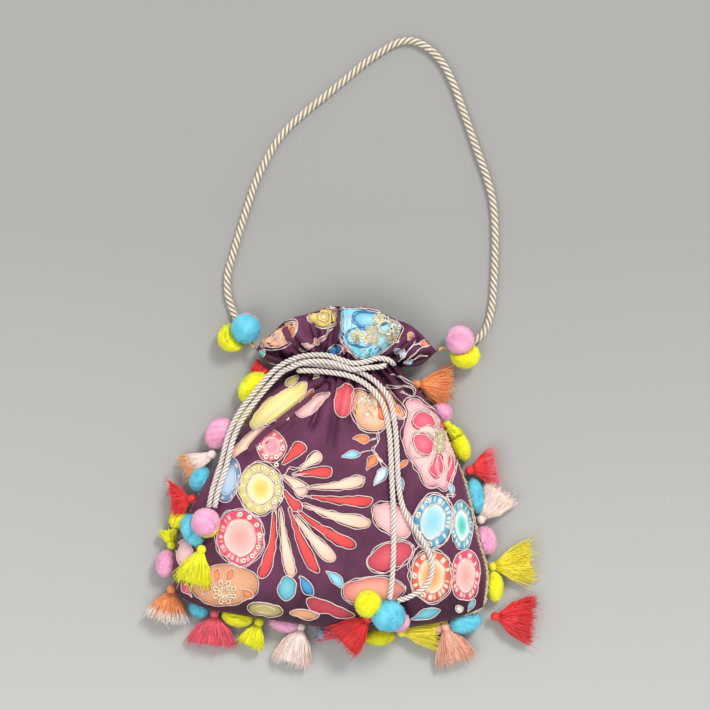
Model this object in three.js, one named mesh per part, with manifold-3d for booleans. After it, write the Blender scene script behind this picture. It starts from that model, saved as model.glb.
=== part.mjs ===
// A potli bag: a gathered drawstring pouch of printed, embroidered silk, lying on its back.
// Millimetres. The back rests on z = 0, the front faces +Z, the handle leads away along +Y
// and +X is the bag's right-hand side as seen from the front.
// The origin is on the flat patch of the back that carries the bag.
import * as THREE from "three";
import { mergeVertices } from "three/addons/utils/BufferGeometryUtils.js";
import Module from "manifold-3d";

const wasm = await Module();
wasm.setup();

// Driving dimensions
const CLOTH = 1.5; // outer cloth with its backing
const LINING = 0.8;
const GAP = 0.3; // between neighbouring pieces
const LINING_GAP = 1.2; // between the outer cloth and the lining
const CASING = 5; // room for the drawstrings between cloth and lining at the neck
const HANDLE_D = 5;
const STRING_D = 3.8;
const LINK_D = 3;
const BRAID_D = 1.6;
const FLOOR_CLEAR = 0.2; // what only hangs beside the bag stays this far off the surface
const BRAID_OUT = 1.4; // the braid's middle from the seam's edge
const SEAM_Z = 15; // height of the side seams along the body
const NECK_SEAM_Z = 13;
const HEM_ROUND = 0.3; // share of the bag's length over which it rises from the hem
const NECK_V = 0.8; // place of the neck between the hem, 0, and the rim, 1
const COLUMNS = 18;
const ROWS = [0, 0.015, 0.04, 0.08, 0.13, 0.19, 0.27, 0.36, 0.45, 0.54, 0.62, 0.69, 0.735, 0.765,
  0.81, 0.85, 0.9, 0.95, 1];
const SLIT_ROWS = [13, 14, 15]; // rows of cells that the drawstring slits open
const SLIT_COLUMNS = [2, 3, 4, 5, 12, 13, 14];

const COLOURS = {
  aubergine: 0x55324f,
  lining: 0x6b3a5a,
  handle: 0xe1d2b9,
  string: 0xdccdc8,
  braid: 0xb9a98c,
  yellow: 0xf0eb14,
  blue: 0x55bee6,
  pink: 0xf5a0c8,
  red: 0xc81e32,
  coral: 0xd7465a,
  orange: 0xfa965a,
  peach: 0xeba082,
  blush: 0xfad7cd,
};

// Outline of the bag laid flat: both side edges from the hem corner past the neck to the frill's
// tip, the hem from left to right, and the rim of the frill from tip to tip.
const LEFT_EDGE = [[-104, -64], [-106, -46], [-100, -24], [-91, -2], [-79, 20], [-63, 41], [-50, 62],
  [-38, 81], [-30, 92], [-39, 97], [-48, 105]];
const RIGHT_EDGE = [[110, -74], [112, -50], [106, -27], [100, 0], [94, 22], [86, 43], [76, 64],
  [62, 81], [53, 92], [66, 94], [78, 104]];
const HEM = [[-104, -64], [-88, -73], [-62, -79], [-35, -83], [0, -88], [38, -90], [66, -87], [90, -82],
  [110, -74]];
const RIM = [[-48, 105], [-40, 114], [-28, 123], [-13, 130], [3, 134], [18, 135], [34, 133], [50, 126],
  [66, 117], [78, 104]];

// Height of the front's crown and of the back's middle, from the hem to the rim
const CROWN = [[0, 43], [0.25, 43], [0.4, 45], [0.55, 43], [0.69, 35], [0.77, 25], [0.87, 25], [1, 29]];
const BELLY = [[0, -8], [0.6, -8], [0.77, 2], [1, 2]];
const FULLNESS = [[0, 2.4], [0.6, 2.4], [0.8, 4], [1, 2.6]]; // how boxy a cross-section is

const clamp01 = (t) => Math.min(1, Math.max(0, t));
const smooth = (a, b, t) => {
  const s = clamp01((t - a) / (b - a));
  return s * s * (3 - 2 * s);
};

// The value at t of a list of [place, value] pairs, eased from each pair to the next.
function along(pairs, t) {
  for (let i = 1; i < pairs.length; i++) {
    const [t0, a] = pairs[i - 1];
    const [t1, b] = pairs[i];
    if (t <= t1) return a + (b - a) * smooth(t0, t1, t);
  }
  return pairs[pairs.length - 1][1];
}

const splineOf = (points) =>
  new THREE.CatmullRomCurve3(
    points.map(([x, y, z = 0]) => new THREE.Vector3(x, y, z)),
    false,
    "catmullrom",
    0.5,
  );

const leftEdge = splineOf(LEFT_EDGE);
const rightEdge = splineOf(RIGHT_EDGE);
const hem = splineOf(HEM);
const rim = splineOf(RIM);

// How far a cross curve stands off the straight line between its ends at u.
function bow(curve, u) {
  const straight = curve.getPoint(0).lerp(curve.getPoint(1), u);
  return curve.getPoint(u).sub(straight);
}

// The plan position of the cloth: u from the left edge to the right, v from the hem to the rim.
function plan(u, v) {
  const hemShare = (1 - clamp01(v / 0.6)) ** 2;
  const rimShare = smooth(NECK_V, 1, v) * 0.45 + clamp01((v - NECK_V) / (1 - NECK_V)) * 0.55;
  return leftEdge
    .getPoint(v)
    .lerp(rightEdge.getPoint(v), u)
    .addScaledVector(bow(hem, u), hemShare)
    .addScaledVector(bow(rim, u), rimShare);
}

const seamZ = (v) => SEAM_Z + (NECK_SEAM_Z - SEAM_Z) * smooth(0.6, NECK_V, v);

// 0 at the seams and the hem, 1 over the middle of the bag.
function swell(u, v) {
  const across = Math.sqrt(Math.max(0, 1 - Math.abs(2 * u - 1) ** along(FULLNESS, v)));
  const fromHem = Math.sqrt(1 - (1 - Math.min(1, v / HEM_ROUND)) ** 2.6);
  return across * fromHem;
}

const SEAM_HALF = CLOTH + GAP / 2;
const frontZ = (u, v) => {
  const low = seamZ(v) + SEAM_HALF;
  return low + (along(CROWN, v) - low) * swell(u, v);
};
const backZ = (u, v) => {
  const high = seamZ(v) - SEAM_HALF;
  return Math.max(0, high + (along(BELLY, v) - high) * swell(u, v));
};

// Columns stand closer together towards the seams, where the cloth turns over.
const columnU = (i, n = COLUMNS) => (1 - Math.cos((Math.PI * i) / n)) / 2;

// ---- Routes of the cords ----------------------------------------------------------------------

// The handle: from the frill's left tip, round an open loop on the surface, to its right tip.
const HANDLE_ROUTE = [[-55.5, 115, 9], [-59, 121, 6], [-62, 127, 4.2], [-65, 134, 2.9], [-68, 145, 2.9],
  [-68, 158, 2.9], [-64, 173, 2.9], [-59, 190, 2.9], [-54, 206, 2.9], [-49, 221, 2.9], [-42, 236, 2.9],
  [-34, 250, 2.9], [-25, 261, 2.9], [-13, 272, 2.9], [0, 282.5, 2.9], [14, 294, 2.9], [27, 305, 2.9],
  [40, 314, 2.9], [51, 320, 2.9], [62, 321, 2.9], [73, 315.5, 2.9], [82, 306, 2.9], [89, 293, 2.9],
  [95, 277, 2.9], [101, 260, 2.9], [107, 243, 2.9], [113, 226, 2.9], [117.5, 208, 2.9],
  [119, 188, 2.9], [118.8, 168, 2.9], [118, 150, 2.9], [116.6, 135, 2.9], [113.6, 122.5, 2.9],
  [107.5, 113.6, 3.4], [98.5, 109, 6], [88.5, 107.6, 9.4]];

// The wrapped links between the frill's tips and the ends of the handle
const LINK_LEFT_ROUTE = [[-48.9, 105.9, 12.6], [-51, 109, 11.6], [-53.4, 112.4, 10.2]];
const LINK_RIGHT_ROUTE = [[79, 104.8, 12.6], [82, 106.4, 11.6], [85.4, 107.2, 10.6]];

// The first drawstring: up from its tail on the left, over the front of the neck, in at the right
// slit, once round the neck inside the casing, out again and back down beside itself.
const LEFT_TAIL_ROUTE = [[-80, -4, 33.8], [-77, 10, 32], [-72, 25, 28.2], [-67, 45, 22.5],
  [-60, 60.5, 21.5], [-50, 74, 22.5], [-40, 86, 23], [-31, 94, 23.6], [-20, 99.5, 26.8],
  [-8, 101.5, 28], [3, 101, 29.4], [12, 98, 31.7], [20, 95.8, 32.2], [29, 97, 30.6],
  [37, 99.2, 28.2], [43.5, 98.2, 26.4], [46.6, 96.2, 23.4], [48, 95.2, 19], [48.2, 95, 14.5],
  [47, 95, 10.4], [44.4, 95, 7.7], [40.5, 95, 6.7], [30, 95, 6.6], [12, 95, 6.6], [-5, 95, 6.6],
  [-13, 95, 6.7], [-17.2, 95, 7.1], [-20.6, 95, 9.2], [-22.6, 95, 13.8], [-20.6, 95, 18.2],
  [-17.4, 95, 20.2], [-13.5, 95, 20.9], [-4, 95, 20.9], [12, 95, 20.9], [28, 95, 20.9],
  [34, 95, 20.8], [39.6, 94.8, 22.2], [41.6, 94.4, 25], [39.6, 93.6, 28.2], [34, 92.9, 29.4],
  [29, 92.6, 31.6], [20, 91.6, 33.6], [12, 94, 32.6], [3, 96.6, 32], [-8, 97.2, 32.2],
  [-17, 95.8, 31.6], [-23, 93, 29], [-29, 90.2, 26.2], [-37, 82.4, 25.6], [-46.7, 71, 24], [-56.3, 58, 23.8],
  [-63, 43.8, 27], [-68, 24, 33.4], [-73, 9, 35.6], [-76, -4, 36.4]];

// The second drawstring: the same from the left slit, with its tail down the middle of the front.
const BOTTOM_TAIL_ROUTE = [[50, -68, 37.2], [57, -65.8, 37.3], [65, -61.5, 37.5], [71.5, -55, 37.8],
  [74, -47, 38.6], [73, -38, 39.6], [68.5, -28, 40.8], [62, -18, 42], [56, -8, 43.2], [52.5, 2, 44.2],
  [50.8, 14, 44.8], [50, 30, 44.6], [49.2, 46, 43.2], [47.5, 60, 41], [44.7, 71, 38.8],
  [39, 79.2, 36.6], [32, 85.5, 33.4], [24, 89.6, 29.8], [16, 91.8, 28.1], [6, 93.4, 28],
  [-4, 94.6, 27.8], [-13, 95.6, 27.6], [-20, 95.4, 25.8], [-24, 93.6, 22.4], [-25.6, 91.8, 17.6],
  [-25.4, 91, 13.4], [-23.4, 90.8, 9.8], [-20, 90.8, 7.6], [-16, 90.8, 6.7], [-8, 90.8, 6.6],
  [12, 90.8, 6.6], [32, 90.8, 6.6], [39, 90.8, 7], [43.6, 90.8, 9.4], [45.6, 90.8, 13.6],
  [43.8, 90.8, 17.8], [40.4, 90.8, 19.8], [35, 90.8, 20.7], [12, 90.8, 21], [-8, 90.8, 21],
  [-13, 90.8, 21.8], [-17, 90.8, 24.4], [-17.4, 90.8, 27.6], [-14, 90.8, 29.6], [-9, 90.6, 30],
  [-4, 90.4, 30.4], [4, 89.5, 31.4], [13, 88.1, 33.2], [21.5, 85.4, 35], [29, 81, 37.3],
  [35.5, 75, 39], [40.2, 67.5, 40.6], [43, 58, 42.2], [44.8, 46, 43.8], [45.8, 30, 45],
  [46.4, 14, 45.2], [47.3, -2, 44.6], [47.6, -20, 43.8], [47.3, -40, 42.8], [46, -58, 40.4],
  [44.6, -67, 38.4]];

// ---- Yarn pieces ------------------------------------------------------------------------------

const ball = (colour, at, a, b, c, angle = 0) => ({ colour, at, a, b, c, angle });
const tassel = (colour, at, angle, length, wide, thick, fall = 4) => ({
  colour, at, angle, length, wide, thick, fall,
});

// The trimming along the seam, clockwise from the right of the neck
const TRIM = [
  tassel("orange", [64, 81, 11], -8, 24, 12, 7, 8),
  ball("pink", [82, 62, 7.6], 8, 6.5, 7.2, -60),
  tassel("yellow", [85, 53, 8], -50, 12, 5, 4, 10),
  ball("yellow", [94, 38, 7.6], 12, 6.8, 7.2, -63),
  tassel("red", [101, 21, 9], 10, 19, 11, 6, 8),
  ball("blue", [105, 3, 7.8], 13, 6.4, 7.2, -80),
  tassel("blush", [109, -13, 9], 52, 25, 12, 6, 8),
  ball("pink", [112, -28, 8.6], 10.5, 7.6, 8.2, -75),
  tassel("yellow", [117, -46, 8], 6, 28, 13, 6, 5),
  ball("yellow", [118.5, -60, 7.6], 11, 6, 7.2, -85),
  tassel("red", [119, -81, 8], -6, 27, 15, 6, 5),
  ball("blue", [98, -85.5, 8], 12, 7, 7.6, 14),
  tassel("peach", [84, -88, 9], -72, 27, 13, 6, 8),
  ball("pink", [78, -89, 6], 4.5, 4.5, 5.4, 0),
  tassel("yellow", [56, -93, 9], -4, 21, 8, 7, 4),
  ball("yellow", [38, -95, 7.8], 11.5, 6, 7.4, 2),
  tassel("coral", [12, -93.5, 5], 178, 17, 5, 4, 2),
  ball("blue", [-4, -91.5, 8], 8.5, 6, 7.6, 0),
  tassel("blush", [-17, -88, 9], -105, 28, 13, 6, 8),
  ball("pink", [-28, -86, 7.6], 12, 6, 7.2, -8),
  tassel("yellow", [-46, -85, 9], -112, 18, 9, 7, 8),
  ball("yellow", [-61, -81.5, 8], 11.5, 6.6, 7.6, -10),
  tassel("coral", [-77, -79, 9], -96, 23, 16, 6, 8),
  ball("blue", [-88, -76, 6.6], 7.5, 5.4, 6.2, -25),
  tassel("orange", [-107, -62, 10], -100, 22, 13, 9, 10),
  ball("pink", [-111, -44, 8.6], 10, 7, 8.2, 80),
  tassel("yellow", [-107, -31, 8], 105, 11, 6, 6, 4),
  ball("yellow", [-103, -13, 7], 7, 5.4, 6.6, 70),
  tassel("red", [-93, 1, 9], 190, 14, 11, 8, 6),
  ball("blue", [-87, 15, 8.4], 9, 7.4, 8, 55),
  tassel("blush", [-79, 32, 9], 205, 22, 7, 6, 6),
  ball("pink", [-74, 47, 9], 12, 9, 8.6, 60),
  tassel("yellow", [-59, 55, 9], 60, 12, 5, 6, 4),
  ball("yellow", [-50, 79, 9.6], 13, 9, 9.2, 50),
  tassel("red", [-42, 90, 8], 150, 9, 4, 5, 2),
];

// Pompoms on the two ends of the handle
const HANDLE_POMPOMS = {
  handle_left_blue: ball("blue", [-55, 120, 15], 10.5, 10.5, 10.2),
  handle_left_yellow: ball("yellow", [-65, 113.5, 10.2], 10, 10, 10),
  handle_left_pink: ball("pink", [-52, 127, 9.4], 9, 9, 9),
  handle_right_pink: ball("pink", [94, 112, 14.6], 10, 10, 10),
  handle_right_blue: ball("blue", [86, 113.5, 9.2], 8.6, 8.6, 8.8),
  handle_right_yellow: ball("yellow", [98, 101, 9.8], 10.4, 9, 9.5),
};

// Bunches on the drawstring tails
const LEFT_TAIL = {
  left_tail_pink: ball("pink", [-82, -14, 39], 10, 10, 9.4),
  left_tail_yellow: ball("yellow", [-77, -20, 36.5], 10, 9, 7.6),
  left_tail_blue: ball("blue", [-90.5, -20, 30], 12.5, 8.4, 8, -62),
};
const LEFT_TAIL_TASSEL = tassel("yellow", [-85, -33, 36.5], -106, 26, 12, 5, 14);
const BOTTOM_TAIL = {
  bottom_tail_blue: ball("blue", [44, -78.5, 37.5], 12, 11, 9.6),
  bottom_tail_yellow: ball("yellow", [30, -70, 40], 9.5, 9.5, 8.6),
  bottom_tail_pink: ball("pink", [51, -83, 30], 8, 7, 7),
};
const BOTTOM_TAIL_TASSEL = tassel("red", [30, -80.5, 33.5], -139, 29, 14, 5, 30);

// ---- Meshes -------------------------------------------------------------------------------

function geometryOf(positions, indices) {
  const geometry = new THREE.BufferGeometry();
  geometry.setAttribute("position", new THREE.Float32BufferAttribute(positions, 3));
  geometry.setIndex(indices);
  return geometry;
}

// A panel of cloth as a closed sheet: lowOf and highOf give z over the grid, and isOpen names the
// cells that are left out as a slit.
function panelGeometry(lowOf, highOf, isOpen = () => false) {
  const nu = COLUMNS + 1;
  const nv = ROWS.length;
  const positions = [];
  for (const zOf of [highOf, lowOf])
    for (const v of ROWS)
      for (let i = 0; i < nu; i++) {
        const p = plan(columnU(i), v);
        positions.push(p.x, p.y, zOf(columnU(i), v));
      }
  const high = (i, j) => j * nu + i;
  const low = (i, j) => nu * nv + j * nu + i;
  const solid = (i, j) => i >= 0 && j >= 0 && i < nu - 1 && j < nv - 1 && !isOpen(i, j);
  const indices = [];
  const wall = (a, b, c, d) => indices.push(a, b, c, a, c, d);
  for (let j = 0; j < nv - 1; j++)
    for (let i = 0; i < nu - 1; i++) {
      if (!solid(i, j)) continue;
      wall(high(i, j), high(i + 1, j), high(i + 1, j + 1), high(i, j + 1));
      wall(low(i, j), low(i, j + 1), low(i + 1, j + 1), low(i + 1, j));
      if (!solid(i, j - 1)) wall(low(i, j), low(i + 1, j), high(i + 1, j), high(i, j));
      if (!solid(i, j + 1)) wall(high(i, j + 1), high(i + 1, j + 1), low(i + 1, j + 1), low(i, j + 1));
      if (!solid(i - 1, j)) wall(high(i, j), high(i, j + 1), low(i, j + 1), low(i, j));
      if (!solid(i + 1, j)) wall(low(i + 1, j), low(i + 1, j + 1), high(i + 1, j + 1), high(i + 1, j));
    }
  return geometryOf(positions, indices);
}

// The lining: an inner bag of thin cloth, closed at its sides and hem and open at the rim.
function liningGeometry() {
  const columns = 12;
  const rows = [0.04, 0.08, 0.15, 0.25, 0.4, 0.55, 0.64, 0.7, 0.745, 0.78, 0.83, 0.88, 0.94, 0.985];
  const inset = (v) => 0.03 + 0.13 * smooth(0.6, 0.75, v) - 0.08 * smooth(0.87, 0.96, v);
  const clear = (v) => {
    const casing = smooth(0.62, 0.74, v) - smooth(0.87, 0.95, v);
    return CLOTH + LINING_GAP + (CASING - LINING_GAP) * casing;
  };
  const nu = columns + 1;
  const positions = [];
  const layer = (zOf, shrink) => {
    for (const [j, v] of rows.entries())
      for (let i = 0; i < nu; i++) {
        const margin = inset(v) + shrink * 0.006;
        const u = margin + (1 - 2 * margin) * columnU(i, columns);
        const inner = j === 0 ? v + shrink * 0.008 : v;
        const p = plan(u, inner);
        positions.push(p.x, p.y, zOf(u, v, i, j));
      }
  };
  // At its sides and hem the front and back of each skin meet on one line.
  const closed = (i, j) => i === 0 || i === columns || j === 0;
  const frontSkin = (drop) => (u, v, i, j) => (closed(i, j) ? seamZ(v) : frontZ(u, v) - clear(v) - drop);
  const backSkin = (lift) => (u, v, i, j) => (closed(i, j) ? seamZ(v) : backZ(u, v) + clear(v) + lift);
  layer(frontSkin(0), 0);
  layer(backSkin(0), 0);
  layer(frontSkin(LINING), 1);
  layer(backSkin(LINING), 1);
  const size = nu * rows.length;
  const at = (skin, i, j) => skin * size + j * nu + i;
  const indices = [];
  const quad = (a, b, c, d) => indices.push(a, b, c, a, c, d);
  const last = rows.length - 1;
  for (let j = 0; j < last; j++)
    for (let i = 0; i < columns; i++)
      for (const skin of [0, 1, 2, 3]) {
        const ring = [at(skin, i, j), at(skin, i + 1, j), at(skin, i + 1, j + 1), at(skin, i, j + 1)];
        quad(...(skin === 0 || skin === 3 ? ring : ring.reverse()));
      }
  for (let i = 0; i < columns; i++) {
    quad(at(0, i, last), at(0, i + 1, last), at(2, i + 1, last), at(2, i, last));
    quad(at(3, i, last), at(3, i + 1, last), at(1, i + 1, last), at(1, i, last));
  }
  return geometryOf(positions, indices);
}

// A round cord of the given radius along a route, with one step for each stretch between points.
function cordGeometry(route, radius, sides) {
  const section = new THREE.Shape();
  for (let k = 0; k < sides; k++) {
    const a = (2 * Math.PI * k) / sides;
    const [x, y] = [radius * Math.cos(a), radius * Math.sin(a)];
    if (k) section.lineTo(x, y);
    else section.moveTo(x, y);
  }
  section.closePath();
  const extrudePath = splineOf(route);
  extrudePath.getUtoTmapping = (share) => share;
  return new THREE.ExtrudeGeometry(section, { steps: route.length - 1, extrudePath, bevelEnabled: false });
}

// A yarn pompom: a ball of semi-axes a along its angle, b across it and c upwards.
function pompomGeometry({ at, a, b, c, angle }, swellBy = 0) {
  const ball = new THREE.IcosahedronGeometry(1, 1);
  return ball
    .scale(a + swellBy, b + swellBy, c + swellBy)
    .rotateZ(THREE.MathUtils.degToRad(angle))
    .translate(...at);
}

// A thread tassel: a wrapped head at its place, and a skirt of the given length and end width that
// lies flattened in the direction of its angle and tips down by its fall.
function tasselGeometry({ at, length, wide, thick, angle, fall }, swellBy = 0) {
  const profile = [[0, -3.4], [2.6, -2.4], [3.4, 0], [2.4, 2.8], [3.6, 5], [wide * 0.72, length * 0.62],
    [wide, length - 2], [wide * 0.8, length], [0, length]];
  const points = profile.map(([r, y], i) => {
    const end = i === profile.length - 1 || y >= length ? swellBy : 0;
    return new THREE.Vector2(r === 0 ? 0 : r + swellBy, i === 0 ? y - swellBy : y + end);
  });
  const flat = thick / wide;
  const skirt = new THREE.LatheGeometry(points, 9);
  const position = skirt.getAttribute("position");
  for (let i = 0; i < position.count; i++) {
    const share = smooth(1, length * 0.6, position.getY(i));
    position.setZ(i, position.getZ(i) * (1 - share + share * flat));
  }
  return skirt
    .rotateX(THREE.MathUtils.degToRad(-fall))
    .rotateZ(THREE.MathUtils.degToRad(angle - 90))
    .translate(...at);
}

// ---- Cutting with manifold-3d ---------------------------------------------------------------

function solidOf(geometry) {
  const bare = geometry.clone();
  bare.deleteAttribute("normal");
  bare.deleteAttribute("uv");
  const merged = mergeVertices(bare, 1e-3);
  return new wasm.Manifold(
    new wasm.Mesh({
      numProp: 3,
      vertProperties: new Float32Array(merged.attributes.position.array),
      triVerts: new Uint32Array(merged.index.array),
    }),
  );
}

function meshOf(solid) {
  const { vertProperties, triVerts, numProp } = solid.getMesh();
  const positions = [];
  for (let i = 0; i < vertProperties.length; i += numProp)
    positions.push(vertProperties[i], vertProperties[i + 1], vertProperties[i + 2]);
  return geometryOf(positions, Array.from(triVerts));
}

const largest = (solid) =>
  solid.decompose().reduce((best, body) => (body.volume() > best.volume() ? body : best));

// Does one bounding box reach into the other?
function boxesMeet(p, q) {
  const [a, b] = [p.boundingBox(), q.boundingBox()];
  return [0, 1, 2].every((k) => a.min[k] < b.max[k] && b.min[k] < a.max[k]);
}

// ---- The bag --------------------------------------------------------------------------------

const bag = new THREE.Group();
bag.name = "potli_bag";

// What stands in the way of the yarn pieces, each a little larger than its piece
const keepClear = [];

// The surface that the bag lies on
const SLAB = 40;
keepClear.push(
  solidOf(new THREE.BoxGeometry(1000, 1000, SLAB).translate(0, 0, FLOOR_CLEAR - SLAB / 2)),
);

function addPiece(name, geometry, colour, roughness = 0.9) {
  const material = new THREE.MeshStandardMaterial({ color: COLOURS[colour], roughness, metalness: 0 });
  const mesh = new THREE.Mesh(geometry, material);
  mesh.name = name;
  bag.add(mesh);
  return mesh;
}

// A yarn piece gives way to everything that is already there.
function addYarn(name, geometryAt, item) {
  let solid = solidOf(geometryAt(item));
  for (const blocker of keepClear) if (boxesMeet(solid, blocker)) solid = solid.subtract(blocker);
  keepClear.push(solidOf(geometryAt(item, GAP)));
  addPiece(name, meshOf(largest(solid)), item.colour, 1);
}

const isSlit = (i, j) => SLIT_ROWS.includes(j) && SLIT_COLUMNS.includes(i);

addPiece("front_panel", panelGeometry((u, v) => frontZ(u, v) - CLOTH, frontZ, isSlit), "aubergine", 0.5);
addPiece("back_panel", panelGeometry(backZ, (u, v) => backZ(u, v) + CLOTH), "aubergine", 0.5);
addPiece("lining", liningGeometry(), "lining", 0.5);
keepClear.push(
  solidOf(
    panelGeometry(
      (u, v) => backZ(u, v) - (backZ(u, v) > 0.5 ? 2 * GAP : GAP / 2),
      (u, v) => frontZ(u, v) + 2 * GAP,
    ),
  ),
);

// The braid follows the seam, a little outside its edge.
function braidRoute() {
  const top = 0.71;
  const edgeSteps = 16;
  const hemSteps = 18;
  const places = [];
  const outward = (curve, t, side) => {
    const tangent = curve.getTangent(t);
    return new THREE.Vector3(tangent.y, -tangent.x, 0).multiplyScalar(side * BRAID_OUT);
  };
  const add = (curve, t, side, v) => {
    const p = curve.getPoint(t).add(outward(curve, t, side));
    places.push([p.x, p.y, seamZ(v)]);
  };
  const corner = (edge, side, hemEnd) => {
    const p = edge.getPoint(0).add(outward(edge, 0, side)).add(outward(hem, hemEnd, 1));
    places.push([p.x, p.y, SEAM_Z]);
  };
  for (let i = edgeSteps; i >= 1; i--) add(rightEdge, (top * i) / edgeSteps, 1, (top * i) / edgeSteps);
  corner(rightEdge, 1, 1);
  for (let i = hemSteps - 1; i >= 1; i--) add(hem, i / hemSteps, 1, 0);
  corner(leftEdge, -1, 0);
  for (let i = 1; i <= edgeSteps; i++) add(leftEdge, (top * i) / edgeSteps, -1, (top * i) / edgeSteps);
  return places;
}

// A cord and the space that the yarn pieces leave it
function addCord(name, route, diameter, sides, colour) {
  addPiece(name, cordGeometry(route, diameter / 2, sides), colour, 0.6);
  keepClear.push(solidOf(cordGeometry(route, diameter / 2 + GAP, sides)));
}

addCord("seam_braid", braidRoute(), BRAID_D, 6, "braid");
addCord("handle_rope", HANDLE_ROUTE, HANDLE_D, 10, "handle");
addCord("drawstring_left_tail", LEFT_TAIL_ROUTE, STRING_D, 8, "string");
addCord("drawstring_bottom_tail", BOTTOM_TAIL_ROUTE, STRING_D, 8, "string");
addCord("handle_link_left", LINK_LEFT_ROUTE, LINK_D, 8, "braid");
addCord("handle_link_right", LINK_RIGHT_ROUTE, LINK_D, 8, "braid");

for (const [name, item] of Object.entries(HANDLE_POMPOMS)) addYarn(name, pompomGeometry, item);
for (const [name, item] of Object.entries(LEFT_TAIL)) addYarn(name, pompomGeometry, item);
addYarn("left_tail_tassel", tasselGeometry, LEFT_TAIL_TASSEL);
for (const [name, item] of Object.entries(BOTTOM_TAIL)) addYarn(name, pompomGeometry, item);
addYarn("bottom_tail_tassel", tasselGeometry, BOTTOM_TAIL_TASSEL);
TRIM.forEach((item, i) => {
  const number = String(i + 1).padStart(2, "0");
  if (item.length) addYarn("trim_tassel_" + number, tasselGeometry, item);
  else addYarn("trim_pompom_" + number, pompomGeometry, item);
});

export default bag;
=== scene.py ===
"""A potli bag of printed, embroidered silk, lying on its back: cloth, cords, yarn and thread.

Lengths are in millimetres in the bag's own frame and turn into metres where a mesh is made.
"""

import logging
import math
from dataclasses import dataclass, field
from enum import Enum

import bpy
import numpy as np
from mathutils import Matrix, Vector
from mathutils.bvhtree import BVHTree


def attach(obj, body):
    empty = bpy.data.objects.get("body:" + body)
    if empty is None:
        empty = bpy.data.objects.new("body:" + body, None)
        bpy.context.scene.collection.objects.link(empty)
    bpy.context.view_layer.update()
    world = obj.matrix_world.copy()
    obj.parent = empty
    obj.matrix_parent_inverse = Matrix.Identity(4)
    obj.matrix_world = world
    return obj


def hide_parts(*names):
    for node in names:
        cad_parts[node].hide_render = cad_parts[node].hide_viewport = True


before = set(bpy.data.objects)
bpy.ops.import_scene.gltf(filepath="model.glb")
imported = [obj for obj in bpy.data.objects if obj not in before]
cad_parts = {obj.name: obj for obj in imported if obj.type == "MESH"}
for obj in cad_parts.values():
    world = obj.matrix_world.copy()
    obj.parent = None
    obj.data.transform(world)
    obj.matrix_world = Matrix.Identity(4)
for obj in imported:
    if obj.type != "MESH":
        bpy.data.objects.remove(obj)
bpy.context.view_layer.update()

MM = 0.001
ROOT = "root"
SEED = 20
log = logging.getLogger("potli_bag")

Colour = tuple[int, int, int]
Point = tuple[float, float]
Place = tuple[float, float, float]
Array = np.ndarray
Rng = np.random.Generator
Piece = bpy.types.Object
Material = bpy.types.Material
Socket = bpy.types.NodeSocket
Value = Socket | float


# ---- Numbers and curves ---------------------------------------------------------------------


def linear(colour: Colour) -> tuple[float, float, float]:
    """The scene-linear value of an 8-bit display colour."""
    share = [c / 255 for c in colour]
    return tuple(s / 12.92 if s <= 0.04045 else ((s + 0.055) / 1.055) ** 2.4 for s in share)


def smooth(low: float, high: float, t: Array) -> Array:
    """0 below low, 1 above high, and an eased step between."""
    s = np.clip((np.asarray(t, float) - low) / (high - low), 0, 1)
    return s * s * (3 - 2 * s)


def along(pairs: list[Point], t: Array) -> Array:
    """The value at t of a list of (place, value) pairs, eased from each pair to the next.

    Args:
        pairs: The places, rising, with their values.
        t: Where to read it.

    Returns:
        One value for each entry of t.
    """
    value = np.full(np.shape(t), float(pairs[0][1]))
    for (t0, a), (t1, b) in zip(pairs, pairs[1:]):
        value += (b - a) * smooth(t0, t1, t)
    return value


class Spline:
    """A smooth curve through given points, open unless it is told to close."""

    def __init__(self, points: list, closed: bool = False) -> None:
        """Keeps the points, padded so that every stretch has a neighbour on each side."""
        p = np.array([(*q, 0.0)[:3] for q in points], float)
        self.spans = len(p) if closed else len(p) - 1
        if closed:
            self.points = np.vstack([p[-1:], p, p[:2]])
        else:
            self.points = np.vstack([2 * p[0] - p[1], p, 2 * p[-1] - p[-2]])

    def at(self, t: Array) -> Array:
        """The points at shares t of the spans, as an array of three columns."""
        t = np.clip(np.asarray(t, float), 0, 1) * self.spans
        i = np.minimum(t.astype(int), self.spans - 1)
        w = (t - i)[..., None]
        a, b, c, d = (self.points[i + k] for k in range(4))
        m0, m1 = (c - a) / 2, (d - b) / 2
        return (
            (2 * w**3 - 3 * w**2 + 1) * b
            + (w**3 - 2 * w**2 + w) * m0
            + (-2 * w**3 + 3 * w**2) * c
            + (w**3 - w**2) * m1
        )

    def even(self, step: float) -> Array:
        """Points one step apart along the curve, both ends included."""
        fine = self.at(np.linspace(0, 1, self.spans * 24 + 1))
        return resample(fine, step)


def resample(path: Array, step: float) -> Array:
    """The same path with its points an even step apart."""
    run = np.concatenate([[0], np.cumsum(np.linalg.norm(np.diff(path, axis=0), axis=1))])
    count = max(2, round(run[-1] / step) + 1)
    places = np.linspace(0, run[-1], count)
    return np.stack([np.interp(places, run, path[:, k]) for k in range(3)], axis=1)


def length_of(path: Array) -> float:
    """The length along a path."""
    return float(np.linalg.norm(np.diff(path, axis=0), axis=1).sum())


def tangents_of(path: Array) -> Array:
    """Unit directions along a path."""
    ahead = np.gradient(path, axis=0)
    return ahead / np.maximum(np.linalg.norm(ahead, axis=1, keepdims=True), 1e-9)


def frames_along(path: Array) -> tuple[Array, Array]:
    """Two directions across the path at each point that turn with it as little as they can."""
    tangent = tangents_of(path)
    side = np.cross(tangent[0], (0, 0, 1.0))
    if np.linalg.norm(side) < 0.1:
        side = np.cross(tangent[0], (1.0, 0, 0))
    side /= np.linalg.norm(side)
    sides = np.empty_like(path)
    for i, t in enumerate(tangent):
        side = side - t * np.dot(side, t)
        side /= np.linalg.norm(side)
        sides[i] = side
    return sides, np.cross(tangent, sides)


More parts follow.
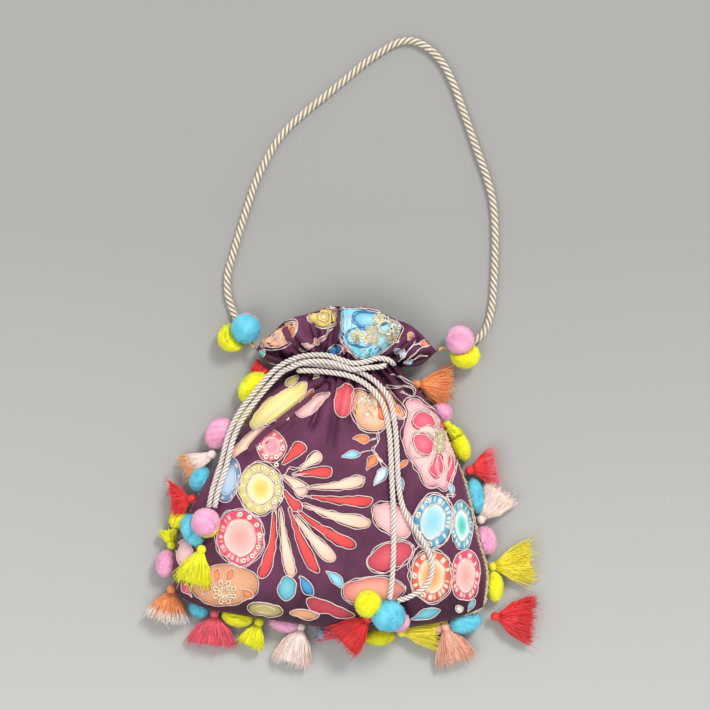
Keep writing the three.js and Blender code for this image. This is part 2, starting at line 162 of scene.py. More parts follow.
def wander(count: int, scale: float, rng: Rng, knots: int) -> Array:
    """A slow random drift of the given size over count places."""
    marks = rng.normal(0, scale, max(3, knots))
    return np.interp(np.linspace(0, 1, count), np.linspace(0, 1, len(marks)), marks)


# ---- Meshes ---------------------------------------------------------------------------------


class MeshPlan:
    """Collects the points, faces, tints and lay coordinates of one piece."""

    def __init__(self) -> None:
        """Starts with nothing in it."""
        self.points: list[Array] = []
        self.faces: list[list[int]] = []
        self.tints: list[Array] = []
        self.lays: list[Array] = []
        self.count = 0

    def add(self, points: Array, faces: Array, tint: Array | None = None, lay: Array | None = None) -> None:
        """Adds a patch of mesh.

        Args:
            points: Its points in millimetres, one to a row.
            faces: Its faces as rows of indices into those points.
            tint: One linear colour, or one for each point.
            lay: Two coordinates for each corner of each face.
        """
        self.points.append(points)
        self.faces += (np.asarray(faces) + self.count).tolist()
        shade = np.ones((len(points), 4))
        shade[:, :3] = (1, 1, 1) if tint is None else tint
        self.tints.append(shade)
        corners = np.zeros((len(faces), np.shape(faces)[1], 2)) if lay is None else lay
        self.lays.append(corners.reshape(-1, 2))
        self.count += len(points)

    def grid(self, points: Array, tint: Array | None = None, wrap: bool = False,
             flip: bool = False, lay: Array | None = None) -> None:
        """Adds a grid of quads.

        Args:
            points: Rows by columns by three coordinates.
            tint: One linear colour, or one for each point.
            wrap: Whether the last column joins the first.
            flip: Whether the faces look the other way.
            lay: Rows by columns by two coordinates, with one more column where the grid wraps.
        """
        faces, corners = grid_faces(points.shape[0], points.shape[1], wrap, flip)
        uv = None
        if lay is not None:
            wide = lay.shape[1]
            rows, cols = corners[..., 0], corners[..., 1]
            uv = lay.reshape(-1, 2)[rows * wide + cols]
        self.add(points.reshape(-1, 3), faces, tint, uv)

    def build(self, name: str, material: Material, slot: str | None) -> Piece:
        """Makes the object, in metres, riding on the bag if it is a part of it.

        Args:
            name: The piece's name.
            material: Its finish.
            slot: The record's slot that the finish stands for, or None for what isn't the bag's.

        Returns:
            The new object.
        """
        points = np.concatenate(self.points) * MM
        mesh = bpy.data.meshes.new(name)
        mesh.from_pydata(points.tolist(), [], self.faces)
        shade = mesh.color_attributes.new("tint", "FLOAT_COLOR", "POINT")
        shade.data.foreach_set("color", np.concatenate(self.tints).ravel())
        lay = mesh.uv_layers.new(name="lay")
        lay.data.foreach_set("uv", np.concatenate(self.lays).ravel())
        mesh.shade_smooth()
        mesh.materials.append(material)
        piece = bpy.data.objects.new(name, mesh)
        bpy.context.scene.collection.objects.link(piece)
        if slot:
            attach(piece, ROOT)
        log.info("%s: %d faces", name, len(self.faces))
        return piece


def grid_faces(rows: int, cols: int, wrap: bool, flip: bool) -> tuple[Array, Array]:
    """The quads of a grid, and the row and unwrapped column of each of their corners."""
    last = cols if wrap else cols - 1
    j, i = np.meshgrid(np.arange(rows - 1), np.arange(last), indexing="ij")
    j, i = j.ravel(), i.ravel()
    corners = np.stack([[j, i], [j, i + 1], [j + 1, i + 1], [j + 1, i]], axis=0).transpose(2, 0, 1)
    if flip:
        corners = corners[:, ::-1]
    faces = corners[..., 0] * cols + corners[..., 1] % cols
    return faces, corners


def tube(plan: MeshPlan, path: Array, radius: Array | float, sides: int, tint: Array) -> None:
    """Adds a closed round tube along a path, with a radius at each point."""
    a, b = frames_along(path)
    turn = np.linspace(0, 2 * np.pi, sides, endpoint=False)
    ring = np.cos(turn)[None, :, None] * a[:, None] + np.sin(turn)[None, :, None] * b[:, None]
    skin = path[:, None] + ring * np.broadcast_to(radius, len(path))[:, None, None]
    start = plan.count
    plan.grid(skin, tint, wrap=True)
    cap_ends(plan, start, len(path), sides, path, tint)


def cap_ends(plan: MeshPlan, start: int, rows: int, sides: int, path: Array, tint: Array) -> None:
    """Closes both ends of a tube whose first point is at start."""
    for row, order in ((0, -1), (rows - 1, 1)):
        ring = start + row * sides + np.arange(sides)
        hub = plan.count
        plan.points.append(path[row][None])
        shade = np.ones((1, 4))
        shade[:, :3] = tint if np.ndim(tint) == 1 else tint[0]
        plan.tints.append(shade)
        plan.count += 1
        pair = np.stack([ring, np.roll(ring, -1)], axis=1)[:, ::order]
        plan.faces += [[*map(int, p), hub] for p in pair]
        plan.lays.append(np.zeros((sides * 3, 2)))


def ray_shape(node: str) -> BVHTree:
    """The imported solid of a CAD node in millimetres, ready to be met by rays."""
    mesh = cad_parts[node].data
    corners = [tuple(v.co / MM) for v in mesh.vertices]
    return BVHTree.FromPolygons(corners, [tuple(p.vertices) for p in mesh.polygons])


def middle_of(node: str) -> Array:
    """The mean of a CAD node's corners, in millimetres."""
    return np.mean([tuple(v.co / MM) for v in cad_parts[node].data.vertices], axis=0)


# ---- Finishes -------------------------------------------------------------------------------


class NodeBoard:
    """A material's nodes, added one after another."""

    def __init__(self, name: str) -> None:
        """Makes the material with its surface shader and output."""
        self.material = bpy.data.materials.new(name)
        self.material.use_nodes = True
        self.tree = self.material.node_tree
        self.tree.nodes.clear()
        self.shader = self.tree.nodes.new("ShaderNodeBsdfPrincipled")
        output = self.tree.nodes.new("ShaderNodeOutputMaterial")
        self.tree.links.new(self.shader.outputs[0], output.inputs[0])

    def add(self, kind: str, inputs: dict | None = None, **settings) -> bpy.types.Node:
        """Adds a node.

        Args:
            kind: The node's type name without its ShaderNode prefix.
            inputs: Values or sockets for its inputs, by name or by place.
            settings: Its other settings.

        Returns:
            The node.
        """
        node = self.tree.nodes.new("ShaderNode" + kind)
        for name, value in settings.items():
            setattr(node, name, value)
        for name, value in (inputs or {}).items():
            self.plug(node.inputs[name], value)
        return node

    def plug(self, socket: Socket, value: Value | tuple) -> None:
        """Links a socket to a socket, or sets its value."""
        if isinstance(value, Socket):
            self.tree.links.new(value, socket)
        else:
            socket.default_value = value

    def set(self, **values: float) -> None:
        """Sets uniform values on the surface shader, with _ for each space in a name."""
        for name, value in values.items():
            self.shader.inputs[name.replace("_", " ")].default_value = value

    def lay(self) -> Socket:
        """The piece's lay coordinates."""
        return self.add("UVMap", uv_map="lay").outputs["UV"]

    def place(self) -> Socket:
        """The piece's own coordinates, in metres."""
        return self.add("TexCoord").outputs["Object"]

    def tint(self) -> Socket:
        """The colour held by the mesh."""
        return self.add("Attribute", attribute_name="tint").outputs["Color"]

    def tinted(self, colour: Socket) -> Socket:
        """A colour multiplied by the one held by the mesh."""
        return self.mix(1.0, colour, self.tint(), "MULTIPLY")

    def stretched(self, source: Socket, scale: Place) -> Socket:
        """Coordinates scaled by a different amount each way."""
        return self.add("Mapping", {"Vector": source, "Scale": scale}).outputs["Vector"]

    def noise(self, source: Socket, scale: float, detail: float = 3, rough: float = 0.6) -> Socket:
        """A cloudy value from 0 to 1."""
        inputs = {"Vector": source, "Scale": scale, "Detail": detail, "Roughness": rough}
        return self.add("TexNoise", inputs).outputs["Fac"]

    def ranged(self, value: Socket, low: float, high: float, start: float = 0.3, stop: float = 0.7) -> Socket:
        """A value carried from start..stop to low..high."""
        node = self.add("MapRange", {"Value": value, "From Min": start, "From Max": stop,
                                     "To Min": low, "To Max": high})
        return node.outputs["Result"]

    def mix(self, share: Value, a: Socket | tuple, b: Socket | tuple, blend: str = "MIX") -> Socket:
        """Two colours mixed."""
        node = self.add("Mix", data_type="RGBA", blend_type=blend)
        self.plug(node.inputs[0], share)
        self.plug(node.inputs[6], (*a, 1) if isinstance(a, tuple) else a)
        self.plug(node.inputs[7], (*b, 1) if isinstance(b, tuple) else b)
        return node.outputs[2]

    def sum(self, a: Value, b: Value, operation: str = "ADD") -> Socket:
        """Two values put together."""
        return self.add("Math", {0: a, 1: b}, operation=operation).outputs[0]

    def scaled(self, colour: Socket, value: Value) -> Socket:
        """A colour made lighter or darker by a value."""
        return self.add("VectorMath", {0: colour, "Scale": value}, operation="SCALE").outputs[0]

    def weave(self, source: Socket, pitch: float) -> Socket:
        """The height of a plain weave with the given thread spacing."""
        turns = 1 / (pitch * 2)
        bands = [
            self.add("TexWave", {"Vector": source, "Scale": turns * 0.314, "Distortion": 0.6,
                                 "Detail": 1, "Detail Scale": 0.2},
                     bands_direction=way).outputs["Fac"]
            for way in ("X", "Y")
        ]
        return self.sum(*bands, "MAXIMUM")

    def bump(self, height: Socket, depth: float, strength: float = 1.0) -> None:
        """Roughens the surface by a height, with the depth in metres."""
        node = self.add("Bump", {"Height": height, "Distance": depth, "Strength": strength})
        self.plug(self.shader.inputs["Normal"], node.outputs["Normal"])


@dataclass(frozen=True)
class SilkFinish:
    """Dyed silk with slubs, a fine weave and a soft sheen."""

    name: str
    colour: Colour
    lit: Colour
    shade: Colour
    printed: bool = False

    def make(self) -> Material:
        """Builds the material."""
        board = NodeBoard(self.name)
        lay, place = board.lay(), board.place()
        cloud = board.ranged(board.noise(place, 34, 4), 0, 1, 0.32, 0.68)
        dye_and_painted_shade = board.mix(cloud, linear(self.shade), linear(self.lit))
        dye_and_painted_shade = board.mix(0.45, dye_and_painted_shade, linear(self.colour))
        if self.printed:
            dye_and_painted_shade = board.mix(0.94, dye_and_painted_shade, board.tint())
        else:
            # On plain cloth the mesh's tint holds the painted shade of the folds, the neck and the hem
            dye_and_painted_shade = board.tinted(dye_and_painted_shade)
        slub = board.noise(board.stretched(lay, (0.35, 3.2, 1)), 1.0, 4, 0.7)
        cross = board.noise(board.stretched(lay, (1.1, 0.07, 1)), 1.0, 3, 0.75)
        streak = board.sum(board.ranged(slub, 0.93, 1.07), board.ranged(cross, 0.76, 1.26), "MULTIPLY")
        board.plug(board.shader.inputs["Base Color"], board.scaled(dye_and_painted_shade, streak))
        low, high = (0.46, 0.62) if self.printed else (0.36, 0.5)
        board.plug(board.shader.inputs["Roughness"], board.ranged(slub, low, high))
        threads = board.weave(lay, 0.42)
        height = board.sum(board.sum(threads, 0.5, "MULTIPLY"), slub)
        board.bump(height, 0.00022, 0.7)
        board.set(Sheen_Weight=0.08, Sheen_Roughness=0.35, Specular_IOR_Level=0.34)
        board.shader.inputs["Sheen Tint"].default_value = (1.0, 0.86, 0.95, 1)
        return board.material


@dataclass(frozen=True)
class ThreadFinish:
    """Twisted thread whose colour is held by the mesh."""

    name: str
    rough: float = 0.5
    metal: float = 0.0
    sheen: float = 0.2
    grain: float = 900.0
    depth: float = 0.00008
    sway: float = 0.12

    def make(self) -> Material:
        """Builds the material."""
        board = NodeBoard(self.name)
        place = board.place()
        fleck = board.noise(place, self.grain, 3, 0.7)
        cloud = board.noise(place, self.grain / 9, 2)
        value = board.sum(board.ranged(fleck, 1 - self.sway, 1 + self.sway),
                          board.ranged(cloud, 1 - self.sway / 2, 1 + self.sway / 2), "MULTIPLY")
        board.plug(board.shader.inputs["Base Color"], board.scaled(board.tint(), value))
        board.plug(board.shader.inputs["Roughness"],
                   board.ranged(fleck, self.rough - 0.06, min(1, self.rough + 0.08)))
        board.bump(fleck, self.depth, 0.6)
        board.set(Metallic=self.metal, Sheen_Weight=self.sheen, Sheen_Roughness=0.5,
                  Specular_IOR_Level=0.35)
        return board.material


@dataclass(frozen=True)
class CordFinish:
    """Three strands of fine silky yarn, its hairs running along each strand."""

    name: str
    hairs: float = 6.0

    def make(self) -> Material:
        """Builds the material."""
        board = NodeBoard(self.name)
        hair = board.noise(board.stretched(board.lay(), (self.hairs, 0.5, 1)), 1.6, 3, 0.6)
        fleck = board.noise(board.place(), 260, 3, 0.7)
        value = board.sum(board.ranged(hair, 0.8, 1.12), board.ranged(fleck, 0.88, 1.08), "MULTIPLY")
        board.plug(board.shader.inputs["Base Color"], board.scaled(board.tint(), value))
        board.plug(board.shader.inputs["Roughness"], board.ranged(hair, 0.42, 0.56))
        board.bump(hair, 0.00025, 0.7)
        board.set(Sheen_Weight=0.12, Sheen_Roughness=0.4, Specular_IOR_Level=0.45)
        return board.material


@dataclass(frozen=True)
class FloorFinish:
    """A plain pale paper surface with painted light: a little lighter towards its near edge."""

    name: str
    colour: Colour
    # The lighter colour of the painted light at the near edge
    near: Colour

    def make(self) -> Material:
        """Builds the material."""
        board = NodeBoard(self.name)
        cloud = board.noise(board.place(), 2.2, 2)
        parts = board.add("SeparateXYZ", {"Vector": board.place()}).outputs
        # Painted light: the paper's colour lightens as y falls towards the near edge
        share = board.ranged(parts["Y"], 1, 0, -0.17, 0.2)
        paper = board.mix(share, linear(self.colour), linear(self.near))
        board.plug(board.shader.inputs["Base Color"],
                   board.scaled(paper, board.ranged(cloud, 0.985, 1.015)))
        board.plug(board.shader.inputs["Roughness"], board.ranged(cloud, 0.86, 0.94))
        board.set(Specular_IOR_Level=0.1)
        return board.material


class Yarn(Enum):
    """Yarn colours, each with its record slot, its body colour and its tip colour."""

    YELLOW = ("yarn_yellow", (244, 240, 6), (255, 255, 60))
    GOLD = ("yarn_yellow", (252, 226, 10), (255, 248, 96))
    BLUE = ("yarn_blue", (88, 197, 224), (148, 230, 244))
    PINK = ("yarn_pink", (246, 166, 204), (255, 206, 228))
    RED = ("yarn_red", (228, 20, 34), (255, 84, 84))
    CORAL = ("yarn_coral", (232, 70, 96), (255, 132, 144))
    ORANGE = ("yarn_orange", (252, 134, 66), (255, 186, 126))
    PEACH = ("yarn_peach", (250, 168, 138), (255, 222, 200))
    BLUSH = ("yarn_blush", (255, 222, 208), (255, 246, 240))

    def __init__(self, slot: str, body: Colour, tip: Colour) -> None:
        """Keeps the colour's parts under their names."""
        self.slot, self.body, self.tip = slot, body, tip


# ---- Stage ----------------------------------------------------------------------------------


@dataclass(frozen=True)
class Studio:
    """The surface under the bag, the light over it and the camera above it."""

    look_at: Point = (21.0, 101.5)
    lens: float = 180.0
    sensor: float = 36.0
    span: float = 0.497
    floor_reach: float = 2200.0
    floor_colour: Colour = (162, 161, 158)
    # The lighter colour of the floor's painted light at its near edge
    floor_painted_light: Colour = (187, 187, 184)

    def build(self) -> None:
        """Lays the floor and places the lights and the camera."""
        self.lay_floor()
        self.hang_lights()
        self.place_camera()

    def lay_floor(self) -> None:
        """A broad sheet of paper with its top on the surface that the bag lies on."""
        marks = np.linspace(-self.floor_reach, self.floor_reach, 23)
        x, y = np.meshgrid(marks, marks)
        points = np.stack([x, y, np.zeros_like(x)], axis=-1)
        mesh = MeshPlan()
        mesh.grid(points)
        floor = mesh.build("floor", FloorFinish("paper", self.floor_colour, self.floor_painted_light).make(), None)

    def hang_lights(self) -> None:
        """A soft key from the upper right, a weak fill and an even sky."""
        world = bpy.data.worlds.new("studio")
        bpy.context.scene.world = world
        world.use_nodes = True
        sky = world.node_tree.nodes["Background"]
        sky.inputs["Color"].default_value = (0.97, 0.985, 1.0, 1)
        sky.inputs["Strength"].default_value = 0.68
        self.add_sun("key", 1.75, 16, (26, 36), (1.0, 0.985, 0.96))
        self.add_sun("fill", 0.8, 40, (-26, -26), (0.97, 0.985, 1.0))

    def add_sun(self, name: str, strength: float, softness: float, lean: Point, colour: Place) -> None:
        """A distant lamp that leans the given degrees to the right and away."""
        lamp = bpy.data.lights.new(name, "SUN")
        lamp.energy, lamp.angle, lamp.color = strength, math.radians(softness), colour
        holder = bpy.data.objects.new(name, lamp)
        right, away = (math.tan(math.radians(a)) for a in lean)
        holder.rotation_euler = Vector((right, away, 1.0)).to_track_quat("Z", "Y").to_euler()
        bpy.context.scene.collection.objects.link(holder)

    def place_camera(self) -> None:
        """A long lens straight above, the handle's end of the bag at the top."""
        data = bpy.data.cameras.new("camera")
        data.lens, data.sensor_width = self.lens, self.sensor
        data.clip_end = 20
        camera = bpy.data.objects.new("camera", data)
        camera.location = (self.look_at[0] * MM, self.look_at[1] * MM, self.span * self.lens / self.sensor)
        bpy.context.scene.collection.objects.link(camera)
        bpy.context.scene.camera = camera
        view = bpy.context.scene.view_settings
        view.view_transform, view.look = "Standard", "None"
        view.exposure, view.gamma = 0.0, 1.0


# ---- Cords ----------------------------------------------------------------------------------

# The middle lines of the cords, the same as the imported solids': each from the bag or a bunch to its far end
HANDLE_ROUTE = [
    (-55.5, 115, 9), (-59, 121, 6), (-62, 127, 4.2), (-65, 134, 2.9), (-68, 145, 2.9),
    (-68, 158, 2.9), (-64, 173, 2.9), (-59, 190, 2.9), (-54, 206, 2.9), (-49, 221, 2.9),
    (-42, 236, 2.9), (-34, 250, 2.9), (-25, 261, 2.9), (-13, 272, 2.9), (0, 282.5, 2.9),
    (14, 294, 2.9), (27, 305, 2.9), (40, 314, 2.9), (51, 320, 2.9), (62, 321, 2.9),
    (73, 315.5, 2.9), (82, 306, 2.9), (89, 293, 2.9), (95, 277, 2.9), (101, 260, 2.9),
    (107, 243, 2.9), (113, 226, 2.9), (117.5, 208, 2.9), (119, 188, 2.9), (118.8, 168, 2.9),
    (118, 150, 2.9), (116.6, 135, 2.9), (113.6, 122.5, 2.9), (107.5, 113.6, 3.4), (98.5, 109, 6),
    (88.5, 107.6, 9.4),
]
LINK_LEFT_ROUTE = [(-48.9, 105.9, 12.6), (-51, 109, 11.6), (-53.4, 112.4, 10.2)]
LINK_RIGHT_ROUTE = [(79, 104.8, 12.6), (82, 106.4, 11.6), (85.4, 107.2, 10.6)]
LEFT_TAIL_FIRST = [
    (48, 95.2, 19), (46.6, 96.2, 23.4), (43.5, 98.2, 26.4), (37, 99.2, 28.2), (29, 97, 30.6),
    (20, 95.8, 32.2), (12, 98, 31.7), (3, 101, 29.4), (-8, 101.5, 28), (-20, 99.5, 26.8),
    (-31, 94, 23.6), (-40, 86, 23), (-50, 74, 22.5), (-60, 60.5, 21.5), (-67, 45, 22.5),
    (-72, 25, 28.2), (-77, 10, 32), (-80, -4, 33.8),
]
LEFT_TAIL_SECOND = [
    (39.6, 94.8, 22.2), (41.6, 94.4, 25), (39.6, 93.6, 28.2), (34, 92.9, 29.4), (29, 92.6, 31.6),
    (20, 91.6, 33.6), (12, 94, 32.6), (3, 96.6, 32), (-8, 97.2, 32.2), (-17, 95.8, 31.6),
    (-23, 93, 29), (-29, 90.2, 26.2), (-37, 82.4, 25.6), (-46.7, 71, 24), (-56.3, 58, 23.8),
    (-63, 43.8, 27), (-68, 24, 33.4), (-73, 9, 35.6), (-76, -4, 36.4),
]
BOTTOM_TAIL_FIRST = [
    (-25.6, 91.8, 17.6), (-24, 93.6, 22.4), (-20, 95.4, 25.8), (-13, 95.6, 27.6), (-4, 94.6, 27.8),
    (6, 93.4, 28), (16, 91.8, 28.1), (24, 89.6, 29.8), (32, 85.5, 33.4), (39, 79.2, 36.6),
    (44.7, 71, 38.8), (47.5, 60, 41), (49.2, 46, 43.2), (50, 30, 44.6), (50.8, 14, 44.8),
    (52.5, 2, 44.2), (56, -8, 43.2), (62, -18, 42), (68.5, -28, 40.8), (73, -38, 39.6),
    (74, -47, 38.6), (71.5, -55, 37.8), (65, -61.5, 37.5), (57, -65.8, 37.3), (50, -68, 37.2),
]
BOTTOM_TAIL_SECOND = [
    (-17, 90.8, 24.4), (-17.4, 90.8, 27.6), (-14, 90.8, 29.6), (-9, 90.6, 30), (-4, 90.4, 30.4),
    (4, 89.5, 31.4), (13, 88.1, 33.2), (21.5, 85.4, 35), (29, 81, 37.3), (35.5, 75, 39),
    (40.2, 67.5, 40.6), (43, 58, 42.2), (44.8, 46, 43.8), (45.8, 30, 45), (46.4, 14, 45.2),
    (47.3, -2, 44.6), (47.6, -20, 43.8), (47.3, -40, 42.8), (46, -58, 40.4), (44.6, -67, 38.4),
]


@dataclass(frozen=True)
class RopeLook:
    """How a three-strand rope is laid: its size, its twist and its two colours, its own on the crowns of the
    strands and a painted shade down between them.
    """

    diameter: float
    pitch: float
    crown: Colour
    painted_groove_shade: Colour
    sides: int
    step: float
    hand: int


# The second colour of each look is a painted shade for the hollows between the strands
HANDLE_LOOK = RopeLook(5.0, 13.2, (246, 236, 216), (146, 124, 98), 21, 0.7, -1)
STRING_LOOK = RopeLook(4.0, 9.6, (255, 247, 238), (176, 148, 138), 18, 0.5, 1)


@dataclass
class Rope:
    """A three-strand rope along a route, closed at both ends."""

    name: str
    route: list[Place]
    look: RopeLook
    nodes: tuple[str, ...]
    slot: str
    path: Array = field(init=False)

    def __post_init__(self) -> None:
        """Works out the line that the rope follows."""
        self.path = Spline(self.route).even(self.look.step)

    def section(self) -> tuple[Array, Array, Array]:
        """The angles round the rope, its radius at each, and how high each stands, from 0 down between the
        strands to 1 on their crowns.
        """
        turn = np.linspace(0, 2 * np.pi, self.look.sides, endpoint=False)
        fold = (turn + np.pi / 3) % (2 * np.pi / 3) - np.pi / 3
        whole = self.look.diameter / 2
        reach, strand = 0.515 * whole, 0.485 * whole
        radius = reach * np.cos(fold) + np.sqrt(np.maximum(strand**2 - (reach * np.sin(fold)) ** 2, 0))
        height = (radius - radius.min()) / (radius.max() - radius.min())
        return turn, radius, height

    def build(self, material: Material) -> Piece:
        """Makes the rope."""
        turn, radius, height = self.section()
        a, b = frames_along(self.path)
        run = np.linspace(0, length_of(self.path), len(self.path))
        angle = turn[None] + self.look.hand * 2 * np.pi * run[:, None] / self.look.pitch
        ring = np.cos(angle)[..., None] * a[:, None] + np.sin(angle)[..., None] * b[:, None]
        ends = np.minimum(1, np.minimum(run, run[-1] - run) / 0.8 + 0.55)
        skin = self.path[:, None] + ring * (radius[None] * ends[:, None])[..., None]
        # Painted shade: the colour darkens from the crowns of the strands down into the hollows between them
        shade = height[:, None] ** 1.15
        tint = np.array(linear(self.look.painted_groove_shade)) * (1 - shade) + np.array(linear(self.look.crown)) * shade
        tints = np.tile(tint, (len(self.path), 1))
        mesh = MeshPlan()
        around = np.linspace(0, 3, self.look.sides + 1)
        lay = np.stack(np.broadcast_arrays(around[None], run[:, None]), axis=-1)
        mesh.grid(skin, tints, wrap=True, lay=lay)
        cap_ends(mesh, 0, len(self.path), self.look.sides, self.path, tint)
        piece = mesh.build(self.name, material, self.slot)
        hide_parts(*self.nodes)
        return piece

    def declare(self, piece: Piece) -> None:
        """Works out the cord's length in metres, and does nothing else with it."""
        length_of(self.path) * MM


@dataclass
class WrappedLink:
    """A short loop of cord bound closely with metallic thread."""

    name: str
    route: list[Place]
    node: str
    radius: float = 1.5
    ridge: float = 1.1
    step: float = 0.12
    colour: Colour = (206, 170, 112)

    def build(self, material: Material) -> Piece:
        """Makes the bound cord as one closed skin with a ridge for each turn of thread."""
        path = Spline(self.route).even(self.step)
        run = np.linspace(0, length_of(path), len(path))
        mesh = MeshPlan()
        radius = self.radius * (0.86 + 0.14 * np.abs(np.sin(np.pi * run / self.ridge)))
        tube(mesh, path, radius, 14, np.array(linear(self.colour)))
        piece = mesh.build(self.name, material, "handle_cord")
        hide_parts(self.node)
        return piece


# ---- Yarn -----------------------------------------------------------------------------------

THIRDS = (0, 2.094, 4.189)


@dataclass
class Pompom:
    """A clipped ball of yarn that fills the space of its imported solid."""

    node: str
    yarn: Yarn
    rows: int = 20
    columns: int = 32
    density: float = 1.32
    most: int = 2300
    floor: float = 0.15

    def build(self, material: Material, rng: Rng) -> Piece:
        """Makes the ball and its cut fibres."""
        solid, centre = ray_shape(self.node), middle_of(self.node)
        mesh = MeshPlan()
        body, tip = np.array(linear(self.yarn.body)), np.array(linear(self.yarn.tip))
        lean = np.pi * (np.arange(self.rows) + 0.5) / self.rows
        turn = np.linspace(0, 2 * np.pi, self.columns, endpoint=False)
        up, round_ = np.meshgrid(-np.cos(lean), turn, indexing="ij")
        side = np.sqrt(1 - up**2)
        ways = np.stack([side * np.cos(round_), side * np.sin(round_), up], axis=-1)
        reach = self.reach(solid, centre, ways.reshape(-1, 3)).reshape(ways.shape[:2])
        lumps = self.lumps(ways, rng)
        skin = centre + ways * (reach * (0.99 + 0.03 * lumps) + 0.3)[..., None]
        skin[..., 2] = np.maximum(skin[..., 2], self.floor)
        mottle = (0.5 + 0.5 * lumps)[..., None]
        tint = (body * 0.92 * (1 - mottle) + (body * 0.6 + tip * 0.4) * mottle).reshape(-1, 3)
        mesh.grid(skin, tint, wrap=True)
        for row, order in ((0, -1), (self.rows - 1, 1)):
            ring = (row * self.columns + np.arange(self.columns))[::order]
            mesh.faces.append(ring.tolist())
            mesh.lays.append(np.zeros((self.columns, 2)))
        self.grow(mesh, solid, centre, body, tip, rng)
        piece = mesh.build(self.node + "_yarn", material, self.yarn.slot)
        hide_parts(self.node)
        return piece

    @staticmethod
    def reach(solid: BVHTree, centre: Array, ways: Array) -> Array:
        """How far the solid's skin is from its middle along each way."""
        start = Vector(centre)
        hits = [solid.ray_cast(start, Vector(w))[3] for w in ways]
        return np.array([h if h is not None else 3.0 for h in hits])

    @staticmethod
    def lumps(ways: Array, rng: Rng) -> Array:
        """A soft uneven field over the ball, from -1 to 1."""
        total = np.zeros(ways.shape[:-1])
        for scale in (3.0, 5.0, 8.0, 12.0):
            axis = rng.normal(size=3)
            total += np.sin(ways @ (axis / np.linalg.norm(axis)) * scale + rng.uniform(0, 6.3))
        return np.clip(total / 2.4, -1, 1)

    def grow(self, mesh: MeshPlan, solid: BVHTree, centre: Array, body: Array,
             tip: Array, rng: Rng) -> None:
        """Adds the cut ends of the yarn, each a small closed spike."""
        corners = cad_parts[self.node].data.vertices
        size = float(np.ptp([tuple(v.co / MM) for v in corners], axis=0).mean())
        count = int(min(self.most, self.density * np.pi * size**2))
        ways = rng.normal(size=(count, 3))
        ways /= np.linalg.norm(ways, axis=1, keepdims=True)
        reach = self.reach(solid, centre, ways)
        root = centre + ways * (reach * 0.94)[:, None]
        tilt = ways + rng.normal(0, 0.42, ways.shape)
        tilt /= np.linalg.norm(tilt, axis=1, keepdims=True)
        long = 0.08 * reach + rng.uniform(0.7, 1.5, count)
        end = root + tilt * long[:, None]
        end[:, 2] = np.maximum(end[:, 2], 0.05)
        across = np.cross(ways, rng.normal(size=(count, 3)))
        across /= np.linalg.norm(across, axis=1, keepdims=True)
        other = np.cross(ways, across)
        thick = rng.uniform(0.26, 0.42, count)[:, None]
        corners = [root + thick * (np.cos(t) * across + np.sin(t) * other) for t in THIRDS]
        points = np.stack([*corners, end], axis=1).reshape(-1, 3)
        points[:, 2] = np.maximum(points[:, 2], 0.04)
        k = np.arange(count)[:, None] * 4
        faces = np.concatenate([k + f for f in ([0, 1, 3], [1, 2, 3], [2, 0, 3], [2, 1, 0])])
        light = rng.uniform(0.1, 1.0, (count, 1))
        bright = rng.uniform(0.88, 1.1, (count, 1))
        base = body * (0.9 + 0.1 * light)
        top = (body * (1 - light) + tip * light) * bright
        tint = np.stack([base, base, base, top], axis=1).reshape(-1, 3)
        mesh.add(points, faces, tint)


